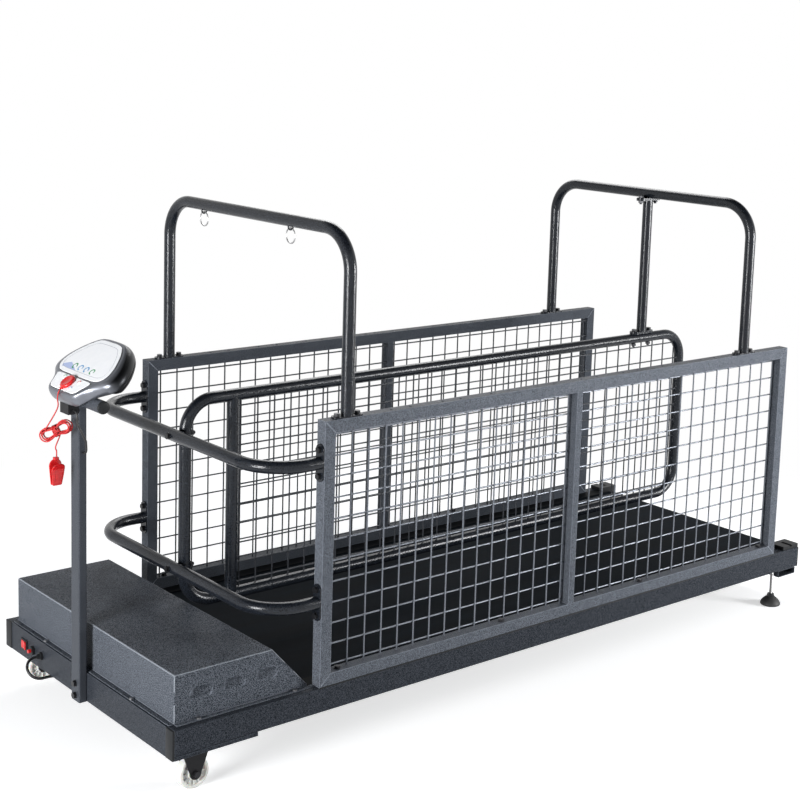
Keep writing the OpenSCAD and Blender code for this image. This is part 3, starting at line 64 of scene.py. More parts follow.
def white_to_eye(tree):
    """1 for rays of the camera, of gloss and of clear stuff, and 0 for light that falls on things."""
    ray = node(tree, "LightPath")
    total = ray.outputs["Is Camera Ray"]
    for kind in ("Is Glossy Ray", "Is Transmission Ray"):
        both = node(tree, "Math", "ADD")
        both.use_clamp = True
        wire(tree, (total, both.inputs[0]), (ray.outputs[kind], both.inputs[1]))
        total = both.outputs[0]
    return total


surround = bpy.data.worlds.new("Surround")
bpy.context.scene.world = surround
surround.use_nodes = True
tree = surround.node_tree
tree.nodes.clear()
seen = node(tree, "Background", Color=(1, 1, 1, 1))
fill = node(tree, "Background", Color=(0.90, 0.95, 1.0, 1), Strength=0.10)
way, split = node(tree, "TexCoord"), node(tree, "SeparateXYZ")
dome = node(tree, "MapRange", From_Min=0.42, From_Max=0.80, To_Min=1.0, To_Max=0.04)
choice, world_out = node(tree, "MixShader"), node(tree, "OutputWorld")
wire(tree, (way.outputs["Generated"], split.inputs[0]), (split.outputs["Z"], dome.inputs["Value"]),
     (dome.outputs["Result"], seen.inputs["Strength"]), (white_to_eye(tree), choice.inputs[0]),
     (fill.outputs[0], choice.inputs[1]), (seen.outputs[0], choice.inputs[2]),
     (choice.outputs[0], world_out.inputs["Surface"]))
bpy.context.scene.view_settings.view_transform = "Standard"

floor_half = 40
floor_mesh = bpy.data.meshes.new("Floor")
floor_mesh.from_pydata([(-floor_half, -floor_half, 0), (floor_half, -floor_half, 0),
                        (floor_half, floor_half, 0), (-floor_half, floor_half, 0)], [], [(0, 1, 2, 3)])
floor = bpy.data.objects.new("Floor", floor_mesh)
bpy.context.collection.objects.link(floor)
floor_paint = bpy.data.materials.new("Floor_white")
floor_paint.use_nodes = True
tree = floor_paint.node_tree
tree.nodes.clear()
near_lift, clear_from, clear_to = 0.55, 1.4, 2.3
matt = node(tree, "BsdfDiffuse", Color=(0.86, 0.87, 0.88, 1))
glow, plain = node(tree, "Emission"), node(tree, "Emission")
place, apart = node(tree, "TexCoord"), node(tree, "VectorMath", "LENGTH")
fade = node(tree, "MapRange", From_Min=clear_from, From_Max=clear_to)
lift, far = node(tree, "Math", "MULTIPLY"), node(tree, "Math", "MULTIPLY")
lift.inputs[1].default_value = near_lift
to_eye = white_to_eye(tree)
sum_up, swap = node(tree, "AddShader"), node(tree, "MixShader")
floor_out = node(tree, "OutputMaterial")
wire(tree, (place.outputs["Object"], apart.inputs[0]), (apart.outputs["Value"], fade.inputs["Value"]),
     (fade.outputs["Result"], far.inputs[0]), (to_eye, far.inputs[1]), (to_eye, lift.inputs[0]),
     (lift.outputs[0], glow.inputs["Strength"]), (matt.outputs[0], sum_up.inputs[0]),
     (glow.outputs[0], sum_up.inputs[1]), (far.outputs[0], swap.inputs[0]),
     (sum_up.outputs[0], swap.inputs[1]), (plain.outputs[0], swap.inputs[2]),
     (swap.outputs[0], floor_out.inputs["Surface"]))
floor_mesh.materials.append(floor_paint)


def lamp(name, place, aim, size, watts):
    """A square soft lamp at place that faces aim."""
    light = bpy.data.lights.new(name, "AREA")
    light.size, light.energy = size, watts
    obj = bpy.data.objects.new(name, light)
    bpy.context.collection.objects.link(obj)
    obj.location = place
    back = np.subtract(place, aim)
    obj.rotation_euler = (np.arctan2(np.hypot(back[0], back[1]), back[2]), 0,
                          np.arctan2(back[1], back[0]) + np.pi / 2)


lamp("Lamp_console_end", (-4.3, -1.0, 1.0), aim=(-0.9, 0, 0.5), size=1.3, watts=185)
lamp("Lamp_behind", (1.9, 2.4, 3.4), aim=(-0.2, 0, 0.4), size=2.2, watts=72)
lamp("Lamp_rear_side", (3.0, -3.2, 1.0), aim=(0.6, -0.4, 0.4), size=1.2, watts=185)

eye_place, eye_turn, eye_dip, eye_roll = (-2.7004, -3.1495, 1.6335), 49.412, 8.528, 1.897
yaw, dip, roll = np.radians((eye_turn, eye_dip, eye_roll))
ahead = np.array((np.cos(dip) * np.cos(yaw), np.cos(dip) * np.sin(yaw), -np.sin(dip)))
level = np.array((np.sin(yaw), -np.cos(yaw), 0))
over = np.cross(level, ahead)
lens = bpy.data.cameras.new("Camera")
lens.lens, lens.sensor_width, lens.shift_x, lens.shift_y, lens.clip_end = 70.0, 36, -0.05, -0.15, 200
camera = bpy.data.objects.new("Camera", lens)
bpy.context.collection.objects.link(camera)
turn = np.eye(4)
turn[:3, 0] = np.cos(roll) * level + np.sin(roll) * over
turn[:3, 1] = np.cos(roll) * over - np.sin(roll) * level
turn[:3, 2], turn[:3, 3] = -ahead, eye_place
camera.matrix_world = turn.T.tolist()
bpy.context.scene.camera = camera

# Side rails, front pan, cross tubes and post. Welded steel tube and folded sheet in a grey hammered
# powder coat: a dark ground with fine pale flakes, slightly pebbled. Each piece has its own copy of the
# coat, painted lighter or darker for how the light falls on it: painted light and shade.
def blotched(name, dark, light, grain, spread, rough, bump, metal=0.0, specular=0.5, round_edge=0.0):
    """Two tones mixed by noise of `grain` spots to the metre, harder edged as `spread` falls.

    The same spots raise the surface and a slow noise shifts the roughness a little. Folded or cut edges
    take the light as if rounded by round_edge, and there the colour is painted pale: a painted highlight.
    """
    finish = bpy.data.materials.new(name)
    finish.use_nodes = True
    tree = finish.node_tree
    shader = tree.nodes["Principled BSDF"]
    shader.inputs["Metallic"].default_value = metal
    shader.inputs["Specular IOR Level"].default_value = specular
    place, spots = node(tree, "TexCoord"), node(tree, "TexNoise", Scale=grain, Detail=2.0)
    cloud = node(tree, "TexNoise", Scale=9.0, Detail=3.0)
    tone = node(tree, "ValToRGB")
    for stop, at, colour in zip(tone.color_ramp.elements, (0.5 - spread, 0.5 + spread), (dark, light)):
        stop.position, stop.color = at, (*colour, 1)
    gloss = node(tree, "MapRange", To_Min=rough - 0.04, To_Max=rough + 0.04)
    relief = node(tree, "Bump", Strength=bump, Distance=0.0006)
    paint = tone.outputs["Color"]
    if round_edge:
        edge = node(tree, "Bevel", Radius=round_edge)
        edge.samples = 6
        flat, turn = node(tree, "NewGeometry"), node(tree, "VectorMath", "DOT_PRODUCT")
        # Painted highlight: where the rounded normal turns away from the flat one, the base colour is
        # lightened.
        edge_highlight, edge_highlight_mix = node(tree, "MapRange", From_Min=0.985, From_Max=0.80), node(tree, "Mix")
        edge_highlight_mix.data_type = "RGBA"
        edge_highlight_mix.inputs[7].default_value = (*(min(1, 2.1 * part) for part in light), 1)
        wire(tree, (edge.outputs["Normal"], relief.inputs["Normal"]),
             (flat.outputs["True Normal"], turn.inputs[0]), (edge.outputs["Normal"], turn.inputs[1]),
             (turn.outputs["Value"], edge_highlight.inputs["Value"]), (edge_highlight.outputs["Result"], edge_highlight_mix.inputs[0]),
             (paint, edge_highlight_mix.inputs[6]))
        paint = edge_highlight_mix.outputs[2]
    wire(tree, (place.outputs["Object"], spots.inputs["Vector"]),
         (place.outputs["Object"], cloud.inputs["Vector"]), (spots.outputs["Fac"], tone.inputs["Fac"]),
         (paint, shader.inputs["Base Color"]), (cloud.outputs["Fac"], gloss.inputs["Value"]),
         (gloss.outputs["Result"], shader.inputs["Roughness"]),
         (spots.outputs["Fac"], relief.inputs["Height"]),
         (relief.outputs["Normal"], shader.inputs["Normal"]))
    return finish


def coat(finish, *names):
    """The named solids show as they are, in this finish."""
    for name in names:
        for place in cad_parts[name].material_slots:
            place.material = finish


# Painted shade: the rails, pan and cross tubes take a darker copy of the coat than the hood and panels.
rail_coat = blotched("Graphite_smooth", (0.009, 0.011, 0.014), (0.058, 0.065, 0.079), grain=700,
                     spread=0.10, rough=0.25, bump=0.7, metal=0.1, specular=0.03, round_edge=0.0016)
coat(rail_coat, "right_rail", "left_rail", "front_pan", "cross_members")
# Painted light and shade: the post takes its own copy of the coat, toned for the light that falls on it.
post_coat = blotched("Graphite_post", (0.032, 0.036, 0.044), (0.080, 0.088, 0.103), grain=900,
                     spread=0.12, rough=0.25, bump=0.3, metal=0.1, specular=0.05, round_edge=0.0016)
coat(post_coat, "console_post")

# Caps of the rail ends and of the console crossbar. Black moulded plastic, each a flange that stands on
# the end of its tube and a plug driven into it.
cap_thick, rail_mid, rail_half, rail_end = 6.0, 393.0, 15.0, 2184.0
rail_low, rail_top, pan_low = 104.0, 164.0, 95.0
crossbar_x, crossbar_half, crossbar_z = -8.0, 115.0, 818.0


def put(name, parts, body, finish, instead_of=(), sharp=38):
    """One piece from parts of points and faces, in mm behind the rails' front ends and above the floor.

    Doubled points are merged, faces turned outwards, and edges over `sharp` degrees stay crisp.
    """
    points, faces, count = [], [], 0
    for part_points, part_faces in parts:
        points.append(np.asarray(part_points, float))
        faces += [[int(i) + count for i in face] for face in part_faces]
        count += len(part_points)
    mesh = bpy.data.meshes.new(name)
    mesh.from_pydata(to_row(np.concatenate(points)).tolist(), [], faces)
    work = bmesh.new()
    work.from_mesh(mesh)
    bmesh.ops.remove_doubles(work, verts=work.verts, dist=2e-6)
    bmesh.ops.recalc_face_normals(work, faces=work.faces)
    work.to_mesh(mesh)
    work.free()
    mesh.shade_smooth()
    mesh.set_sharp_from_angle(angle=np.radians(sharp))
    mesh.materials.append(finish)
    obj = bpy.data.objects.new(name, mesh)
    bpy.context.collection.objects.link(obj)
    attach(obj, body)
    if instead_of:
        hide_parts(*instead_of)
    return obj


def to_row(points):
    """Millimetres behind the capped front ends of the rails to metres in the shared frame."""
    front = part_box("right_rail")[0][0] - cap_thick / 1000
    return np.asarray(points, float) / 1000 + (front, 0, 0)


def skin(grid, round_u=False, round_v=False):
    """Quads over an m x n grid of points: a cell joins (i, j), (i+1, j), (i+1, j+1) and (i, j+1)."""
    m, n = grid.shape[:2]
    i = np.arange(m if round_u else m - 1)[:, None]
    j = np.arange(n if round_v else n - 1)[None, :]
    next_i, next_j = (i + 1) % m, (j + 1) % n
    cells = np.stack([i * n + j, next_i * n + j, next_i * n + next_j, i * n + next_j], -1).reshape(-1, 4)
    return grid.reshape(-1, 3), cells.tolist()


def block(low, high, r, steps=3):
    """A box with all edges rounded by r: each eighth of a ball of radius r sits in its own corner."""
    low, high = np.asarray(low, float), np.asarray(high, float)
    mid, half = (low + high) / 2, (high - low) / 2 - r
    t = np.linspace(0, np.pi / 2, steps + 1)
    around = (t[None, :] + np.arange(4)[:, None] * np.pi / 2).ravel()
    sx, sy = (np.repeat(s, steps + 1) for s in ((1, -1, -1, 1), (1, 1, -1, -1)))
    up, sz = np.concatenate([t - np.pi / 2, t])[:, None], np.repeat((-1, 1), steps + 1)[:, None]
    ball = np.stack(np.broadcast_arrays(np.cos(up) * np.cos(around), np.cos(up) * np.sin(around),
                                        np.sin(up)), -1)
    corner = np.stack(np.broadcast_arrays(sx[None], sy[None], sz), -1) * half
    points, faces = skin(mid + corner + r * ball, round_v=True)
    n, last = 4 * (steps + 1), (2 * steps + 1) * 4 * (steps + 1)
    ends = [list(range(0, n, steps + 1)), list(range(last, last + n, steps + 1))]
    return points, faces + ends


def turned(profile, place, axis="z", sides=48):
    """A lathe form: each (radius, height) of the profile becomes a ring about the axis through place."""
    profile = np.asarray(profile, float)
    a = np.linspace(0, 2 * np.pi, sides, endpoint=False)
    r, h = profile[:, :1], np.broadcast_to(profile[:, 1:], (len(profile), sides))
    ring = {"x": (h, r * np.cos(a), r * np.sin(a)), "y": (r * np.sin(a), h, r * np.cos(a)),
            "z": (r * np.cos(a), r * np.sin(a), h)}[axis]
    return skin(np.stack(ring, -1) + place, round_v=True)


cap_black = blotched("Cap_plastic", (0.010, 0.011, 0.012), (0.024, 0.025, 0.027), grain=900, spread=0.2,
                     rough=0.42, bump=0.12, specular=0.12)
caps = [block((x, s * rail_mid - rail_half, z), (x + cap_thick, s * rail_mid + rail_half, rail_top), 1.6)
        for s in (-1, 1) for x, z in ((0, pan_low), (rail_end - cap_thick, rail_low))]
cap_dome = np.array([(0, 6), (9, 5.8), (12.6, 5.2), (14.4, 4.0), (15, 2.2), (15, 0), (0, 0)])
caps += [turned(cap_dome * (1, s), (crossbar_x, s * crossbar_half, crossbar_z), "y") for s in (-1, 1)]
put("Tube_caps", caps, "base", cap_black, ["tube_caps"])

# Deck board, its rubber cushions and the running belt. Coated fibreboard on rubber, under an endless
# black belt with a fine diamond emboss that keeps paws from slipping.
def embossed(name, dark, light, cells, rough, depth):
    """A near black sheet raised in small turned squares, cells to the metre, scuffed along its run."""
    finish = bpy.data.materials.new(name)
    finish.use_nodes = True
    tree = finish.node_tree
    shader = tree.nodes["Principled BSDF"]
    shader.inputs["Specular IOR Level"].default_value = 0.012
    place, quarter = node(tree, "TexCoord"), node(tree, "Mapping", Rotation=(0, 0, np.pi / 4))
    stretch = node(tree, "Mapping", Scale=(2.0, 26.0, 26.0))
    squares = node(tree, "TexVoronoi", Scale=cells, Randomness=0.08)
    squares.distance = "CHEBYCHEV"
    scuff, tone = node(tree, "TexNoise", Scale=1.0, Detail=5.0), node(tree, "ValToRGB")
    for stop, at, colour in zip(tone.color_ramp.elements, (0.35, 0.75), (dark, light)):
        stop.position, stop.color = at, (*colour, 1)
    gloss = node(tree, "MapRange", To_Min=rough - 0.1, To_Max=rough + 0.08)
    relief = node(tree, "Bump", Strength=depth, Distance=0.0008)
    wire(tree, (place.outputs["Object"], quarter.inputs["Vector"]),
         (place.outputs["Object"], stretch.inputs["Vector"]),
         (quarter.outputs["Vector"], squares.inputs["Vector"]),
         (stretch.outputs["Vector"], scuff.inputs["Vector"]), (scuff.outputs["Fac"], tone.inputs["Fac"]),
         (tone.outputs["Color"], shader.inputs["Base Color"]), (scuff.outputs["Fac"], gloss.inputs["Value"]),
         (gloss.outputs["Result"], shader.inputs["Roughness"]),
         (squares.outputs["Distance"], relief.inputs["Height"]),
         (relief.outputs["Normal"], shader.inputs["Normal"]))
    return finish


belt_cloth = embossed("Belt_cloth", (0.0040, 0.0062, 0.0090), (0.0090, 0.0130, 0.0180), cells=260,
                      rough=0.55, depth=0.5)
board = blotched("Deck_board", (0.20, 0.13, 0.075), (0.36, 0.25, 0.15), grain=160, spread=0.25,
                 rough=0.55, bump=0.2)
soft_rubber = blotched("Soft_rubber", (0.010, 0.010, 0.011), (0.022, 0.022, 0.023), grain=800, spread=0.2,
                       rough=0.62, bump=0.2)
coat(belt_cloth, "running_belt")
coat(board, "running_deck")
coat(soft_rubber, "deck_cushions")

# Side strips and rear roller blocks. Ribbed black plastic treads screwed beside the belt, and moulded
# blocks on the rail ends that carry the rear roller and its adjusters.
tread = embossed("Tread_plastic", (0.006, 0.007, 0.008), (0.014, 0.015, 0.017), cells=150, rough=0.45,
                 depth=0.7)
coat(tread, "side_strips")
coat(cap_black, "rear_roller_blocks")

# Rollers, shafts and drive. The rollers are turned steel drums, zinc plated, on fixed shafts; the motor is
# a painted iron can that drives the front one by a ribbed rubber belt, with its controller beside it.
zinc = blotched("Zinc_plate", (0.42, 0.42, 0.42), (0.62, 0.62, 0.63), grain=500, spread=0.3, rough=0.30,
                bump=0.08, metal=1.0)
dull_zinc = blotched("Zinc_dull", (0.20, 0.20, 0.21), (0.36, 0.36, 0.37), grain=500, spread=0.3,
                     rough=0.38, bump=0.1, metal=1.0)
motor_paint = blotched("Motor_paint", (0.012, 0.013, 0.015), (0.035, 0.036, 0.040), grain=600, spread=0.2,
                       rough=0.4, bump=0.3, metal=0.2)
coat(zinc, "front_roller", "rear_roller", "roller_shafts", "motor_pulley")
coat(motor_paint, "drive_motor")
coat(soft_rubber, "drive_belt")
coat(cap_black, "motor_controller")

# Motor hood. One folded steel sheet with a flat top and a sloping back, three dents pressed into each
# side for the fingers, and narrow flanges screwed down on the rails and the front pan.
hood_half, hood_foot, hood_fold, hood_edge = 380.0, 165.5, 3.2, 2.6
hood_front, hood_bend, hood_tail, hood_top, tail_lip = 20.0, 274.0, 373.0, 276.0, 169.0
dent_x, dent_z, dent_r, dent_half, dent_deep = (89.0, 175.0, 261.0), 223.0, 14.0, 15.0, 11.0
hood_corners = np.array([(hood_front, hood_foot), (hood_front, hood_top), (hood_bend, hood_top),
                         (hood_tail, tail_lip), (hood_tail, hood_foot)])


def unit(v):
    """Each vector at length 1."""
    return v / np.linalg.norm(v, axis=-1, keepdims=True)


def folded(corners, r, steps=5, spacing=2.5):
    """Centres and outward directions of a folded line: line(d) = centre + (r - d) * direction.

    Each inner corner is an arc of radius r, and the straights between are filled at the spacing.
    """
    along = unit(np.diff(corners, axis=0))
    out = np.stack([-along[:, 1], along[:, 0]], 1)
    pair = out[:-1] + out[1:]
    mids = corners[1:-1] - r * pair / (1 + np.sum(out[:-1] * out[1:], 1, keepdims=True))
    t = np.linspace(0, 1, steps + 1)[None, :, None]
    fan = unit(out[:-1, None] * (1 - t) + out[1:, None] * t)
    heads = np.repeat(mids[:, None], steps + 1, 1)
    centre = np.vstack([corners[:1] - r * out[:1], heads.reshape(-1, 2), corners[-1:] - r * out[-1:]])
    way = np.vstack([out[:1], fan.reshape(-1, 2), out[-1:]])
    gap = np.linalg.norm(np.diff(centre + r * way, axis=0), axis=1)
    at = np.concatenate([[0], np.cumsum(gap)])
    fill = np.union1d(at, np.arange(0, at[-1], spacing))
    pick = [np.interp(fill, at, column) for column in (*centre.T, *way.T)]
    return np.stack(pick[:2], 1), unit(np.stack(pick[2:], 1)), fill / at[-1]


centre, way, share = folded(hood_corners, hood_fold)
roll_on = np.linspace(0, np.pi / 2, 6)
rows = []
for a in roll_on:
    line = centre + (hood_fold - hood_edge * (1 - np.cos(a))) * way
    side_y = np.full(len(line), hood_half - hood_edge * (1 - np.sin(a)))
    rows.append(np.column_stack([line[:, 0], side_y, line[:, 1]]))
rim = rows[-1]
foot_line = hood_front + hood_edge + (hood_tail - hood_front - 2 * hood_edge) * share
foot = np.column_stack([foot_line, np.full(len(rim), hood_half), np.full(len(rim), hood_foot)])
rows += [rim + (foot - rim) * t for t in np.linspace(0, 1, 49)[1:]]
cheek = np.stack(rows)
reach = np.min([np.hypot(np.maximum(np.abs(cheek[..., 0] - x) - dent_half, 0), cheek[..., 2] - dent_z)
                for x in dent_x], axis=0)
cheek[..., 1] -= dent_deep * (0.5 + 0.5 * np.cos(np.pi * np.minimum(reach / dent_r, 1))) ** 0.8
top = np.stack([np.column_stack([cheek[0][:, 0], np.full(len(share), y), cheek[0][:, 2]])
                for y in np.linspace(hood_edge - hood_half, hood_half - hood_edge, 9)])
# Painted light: the hood takes a lighter copy of the coat than the rails, for the light on its sides.
graphite = blotched("Graphite_hammered", (0.010, 0.013, 0.017), (0.150, 0.165, 0.194), grain=560,
                    spread=0.09, rough=0.28, bump=1.0, specular=0.015, round_edge=0.0016)
hood = put("Motor_hood", [skin(cheek), skin(cheek * (1, -1, 1)), skin(top)], "base", graphite,
           ["motor_hood"], sharp=60)
# Painted highlight: the rounded folds of the hood take a much lighter copy of the coat.
fold_highlight_coat = blotched("Graphite_fold_highlight", (0.15, 0.165, 0.19), (0.34, 0.37, 0.41), grain=560, spread=0.2,
                     rough=0.25, bump=0.5, metal=0.1, specular=0.1)
hood.data.materials.append(fold_highlight_coat)
# The mask of the painted highlight: faces that match none of the flat sides and lie outside the dents.
slope = np.array((hood_top - tail_lip, 0, hood_tail - hood_bend))
flats = np.array([(-1, 0, 0), (0, 0, 1), (0, 1, 0), (0, -1, 0), unit(slope)])
dent_low, dent_high, cheek_from = (dent_z - dent_r) / 1000, (dent_z + dent_r) / 1000, 0.3
for side in hood.data.polygons:
    dented = dent_low < side.center[2] < dent_high and abs(side.center[1]) > cheek_from
    if np.max(flats @ np.array(side.normal)) < 0.97 and not dented:
        side.material_index = 1
sheet = hood.modifiers.new("Sheet", "SOLIDIFY")
sheet.thickness, sheet.offset = 0.0015, -1
flange_mid, flange_half, flange_end, flange_edge = 386.0, 6.4, 385.0, 0.6
front_flange, front_flange_half = 7.0, rail_mid - rail_half
flanges = [block((hood_front, s * flange_mid - flange_half, rail_top),
                 (flange_end, s * flange_mid + flange_half, hood_foot), flange_edge) for s in (-1, 1)]
flanges.append(block((front_flange, -front_flange_half, rail_top),
                     (hood_front + 1, front_flange_half, hood_foot), flange_edge))
put("Hood_flanges", flanges, "base", graphite)
coat(dull_zinc, "hood_screws")

# Side panels. Frames of square tube, mitred and welded at the corners, with a welded mesh of 4 mm wire
# set in behind them; bolted down on the rails through their bottom tubes, with a black strip between
# that stands in for the shadow in the gap: painted shade.
# The left panel and the divider mesh stand in shade in the photograph, so their coat is darker.
panel_grain = {"grain": 820, "spread": 0.12, "rough": 0.28, "bump": 0.7, "metal": 0.1, "specular": 0.02,
               "round_edge": 0.0016}
# Painted light: the near panel takes a lighter copy of the coat than the rails.
panel_coat = blotched("Graphite_panel", (0.036, 0.041, 0.050), (0.165, 0.181, 0.211), **panel_grain)
far_panel_coat = blotched("Graphite_panel_far", (0.018, 0.021, 0.026), (0.088, 0.098, 0.116), **panel_grain)
coat(panel_coat, "right_panel_frame")
coat(far_panel_coat, "left_panel_frame")
wire_coat = blotched("Wire_coat", (0.10, 0.11, 0.13), (0.24, 0.26, 0.30), grain=700, spread=0.2,
                     rough=0.25, bump=0.15, metal=0.4, specular=0.3)
far_wire_coat = blotched("Wire_coat_far", (0.024, 0.026, 0.031), (0.066, 0.071, 0.081), grain=700,
                         spread=0.2, rough=0.25, bump=0.15, metal=0.2, specular=0.2)
coat(wire_coat, "right_panel_mesh")
coat(far_wire_coat, "left_panel_mesh", "divider_mesh")


def bead(start, end, out, width, height, ripple):
    """A weld bead from start to end: a half round swell of width and height on the face that looks `out`.

    Along the bead the height falls to nothing at both ends and carries fine ripples.
    """
    start, end, out = (np.asarray(v, float) for v in (start, end, out))
    t, a = np.linspace(0, 1, 41)[:, None], np.linspace(0, np.pi, 7)[None]
    swell = np.sqrt(np.maximum(1 - (2 * t - 1) ** 6, 0)) * (1 + 0.12 * np.cos(2 * np.pi * ripple * t))
    across = unit(np.cross(out, end - start))
    line = start + (end - start) * t
    grid = (line[:, None] + (swell * np.cos(a))[..., None] * across * width / 2
            + (swell * np.sin(a))[..., None] * out * height)
    points, faces = skin(grid)
    under, under_faces = skin(np.stack([grid[:, 0], grid[:, -1]], 1))
    return np.vstack([points, under]), faces + [[i + len(points) for i in face] for face in under_faces]


panel_x, panel_end, panel_low, panel_top, panel_tube = 388.0, 2062.0, rail_top, 794.0, 30.0
panel_out, mid_post, mid_weld = rail_mid + rail_half, 1202.0, 10.0
beads = []
for s in (-1, 1):
    for y, out, inward in ((panel_out, s, -1), (panel_out - panel_tube, -s, 1)):
        for x, along in ((panel_x, 1), (panel_end, -1)):
            for z, lift in ((panel_low, 1), (panel_top, -1)):
                beads.append(bead((x + along * 2, s * y, z + lift * 2),
                                  (x + along * (panel_tube - 1), s * y, z + lift * (panel_tube - 1)),
                                  (0, out, 0), width=2.6, height=0.5, ripple=15))
        for x in (mid_post - mid_weld, mid_post + mid_weld):
            for z, lift in ((panel_low + panel_tube, 1), (panel_top - panel_tube, -1)):
                beads.append(bead((x, s * (y + 4 * inward), z), (x, s * (y + 14 * inward), z), (0, 0, lift),
                                  width=2.4, height=1.0, ripple=6))
put("Panel_welds", beads, "base", panel_coat)
# Painted shade: thin black strips where the panel tubes stand on the rails, for the shadow in the gap.
shadow_strip_half, shadow_strip_under, shadow_strip_over = 0.5, 2.2, 1.8
shadow_strips = [block((panel_x, s * panel_out - shadow_strip_half, panel_low - shadow_strip_under),
               (panel_end, s * panel_out + shadow_strip_half, panel_low + shadow_strip_over), 0.3) for s in (-1, 1)]
put("Panel_shadow_strips", shadow_strips, "base", cap_black)

# Arches, drop tube, divider and front bars. Bent round steel tube in the same coat, a little glossier,
# with flat flanges welded on, held by blackened hex bolts. Two wire rings hang from the front arch.
tube_gloss = blotched("Graphite_tube", (0.003, 0.004, 0.006), (0.020, 0.024, 0.032), grain=520,
                      spread=0.10, rough=0.14, bump=0.60, metal=0.1, specular=0.32)
bolt_black = blotched("Bolt_blackened", (0.012, 0.012, 0.014), (0.035, 0.036, 0.040), grain=600,
                      spread=0.3, rough=0.30, bump=0.1, metal=0.6, specular=0.4)
coat(tube_gloss, "front_arch", "rear_arch", "drop_tube", "divider_frame", "upper_front_bar",
     "lower_front_bar")
coat(bolt_black, "frame_bolts", "panel_bolts")
coat(zinc, "right_ring", "left_ring")

# Console bracket and shells. A black cover on the post top carries a two-part moulded case: a silver
# lacquered front, whose rolled sides carry painted shade that turns them black, and a black back.
black_satin = blotched("Black_satin", (0.007, 0.007, 0.008), (0.017, 0.017, 0.019), grain=700, spread=0.2,
                       rough=0.36, bump=0.15, specular=0.14)
coat(black_satin, "console_bracket")
console_at, console_tilt = np.array((17.5, 0.0, 891.0)), np.radians(36)


def on_face(points):
    """Points (v up the slope, y, w out of the face) of the console to the model's axes."""
    v, y, w = np.moveaxis(np.asarray(points, float), -1, 0)
    c, s = np.cos(console_tilt), np.sin(console_tilt)
    return np.stack([v * c - w * s, y, v * s + w * c], -1) + console_at


def faced(part):
    """A part drawn on the console face, moved to its place."""
    return on_face(part[0]), part[1]


def cubic(a, b, c, e, t):
    """The Catmull-Rom line from b to c, between a and e, as t goes from 0 to 1.

    0.5 (2b + (c - a) t + (2a - 5b + 4c - e) t^2 + (3b - a - 3c + e) t^3)
    """
    return 0.5 * (2 * b + (c - a) * t + (2 * a - 5 * b + 4 * c - e) * t ** 2
                  + (3 * b - a - 3 * c + e) * t ** 3)


def smooth_loop(half, steps=6):
    """A closed Catmull-Rom line through the +y half of an outline, rear to front, and its mirror image."""
    half = np.asarray(half, float)
    p = np.vstack([half, half[-2:0:-1] * (1, -1)])
    t = (np.arange(steps) / steps)[None, :, None]
    beside = (np.roll(p, 1 - i, 0)[:, None] for i in range(4))
    return cubic(*beside, t).reshape(-1, 2)


def capped(grid):
    """The skin of a row of closed rings, with a flat end on the first and on the last."""
    points, faces = skin(grid, round_v=True)
    n, last = grid.shape[1], len(points)
    return points, faces + [list(range(n)), list(range(last - n, last))]


def stacked(loops, heights):
    """Outlines one under another on the console face, each at its height, closed by flat ends."""
    grid = np.stack([np.column_stack([loop, np.full(len(loop), w)]) for loop, w in zip(loops, heights)])
    return capped(on_face(grid))


def drawn_in(loop, inset):
    """The outline moved inwards by inset, along its own normals."""
    along = unit(np.roll(loop, -1, 0) - np.roll(loop, 1, 0))
    return loop - inset * np.stack([along[:, 1], -along[:, 0]], 1)


silver = blotched("Silver_lacquer", (0.165, 0.175, 0.20), (0.22, 0.23, 0.26), grain=1500, spread=0.3,
                  rough=0.32, bump=0.05, metal=0.8)
face_edge = smooth_loop([
    (80, 0), (79.5, 28), (76, 50), (68, 64), (52, 81), (30, 97), (10, 108), (-8, 111.5), (-22, 109),
    (-31, 101), (-40, 89), (-50, 80), (-62, 73), (-74, 67), (-83, 60), (-88, 48), (-89.5, 25), (-90, 0)])
shell_edge = smooth_loop([
    (88.6, 0), (88, 30), (85, 53), (77, 72), (61, 93), (38, 114), (15, 128), (-6, 134), (-22, 133.5),
    (-34, 125), (-45, 109), (-56, 93), (-68, 80.5), (-80, 72), (-90, 64), (-96.5, 50),
    (-98.6, 26), (-99, 0)])
shell_roll, wall_insets, wall_heights = 19.0, (0.2, 0.8, 2.2, 4.5), [-23, -27, -29.6, -30.6]
roll_a = np.radians(np.linspace(0, 90, 9))
shell_loops = [shell_edge + (face_edge - shell_edge) * (1 - np.sin(a)) for a in roll_a]
shell_loops += [drawn_in(shell_edge, inset) for inset in wall_insets]
shell_heights = [-shell_roll * (1 - np.cos(a)) for a in roll_a] + wall_heights


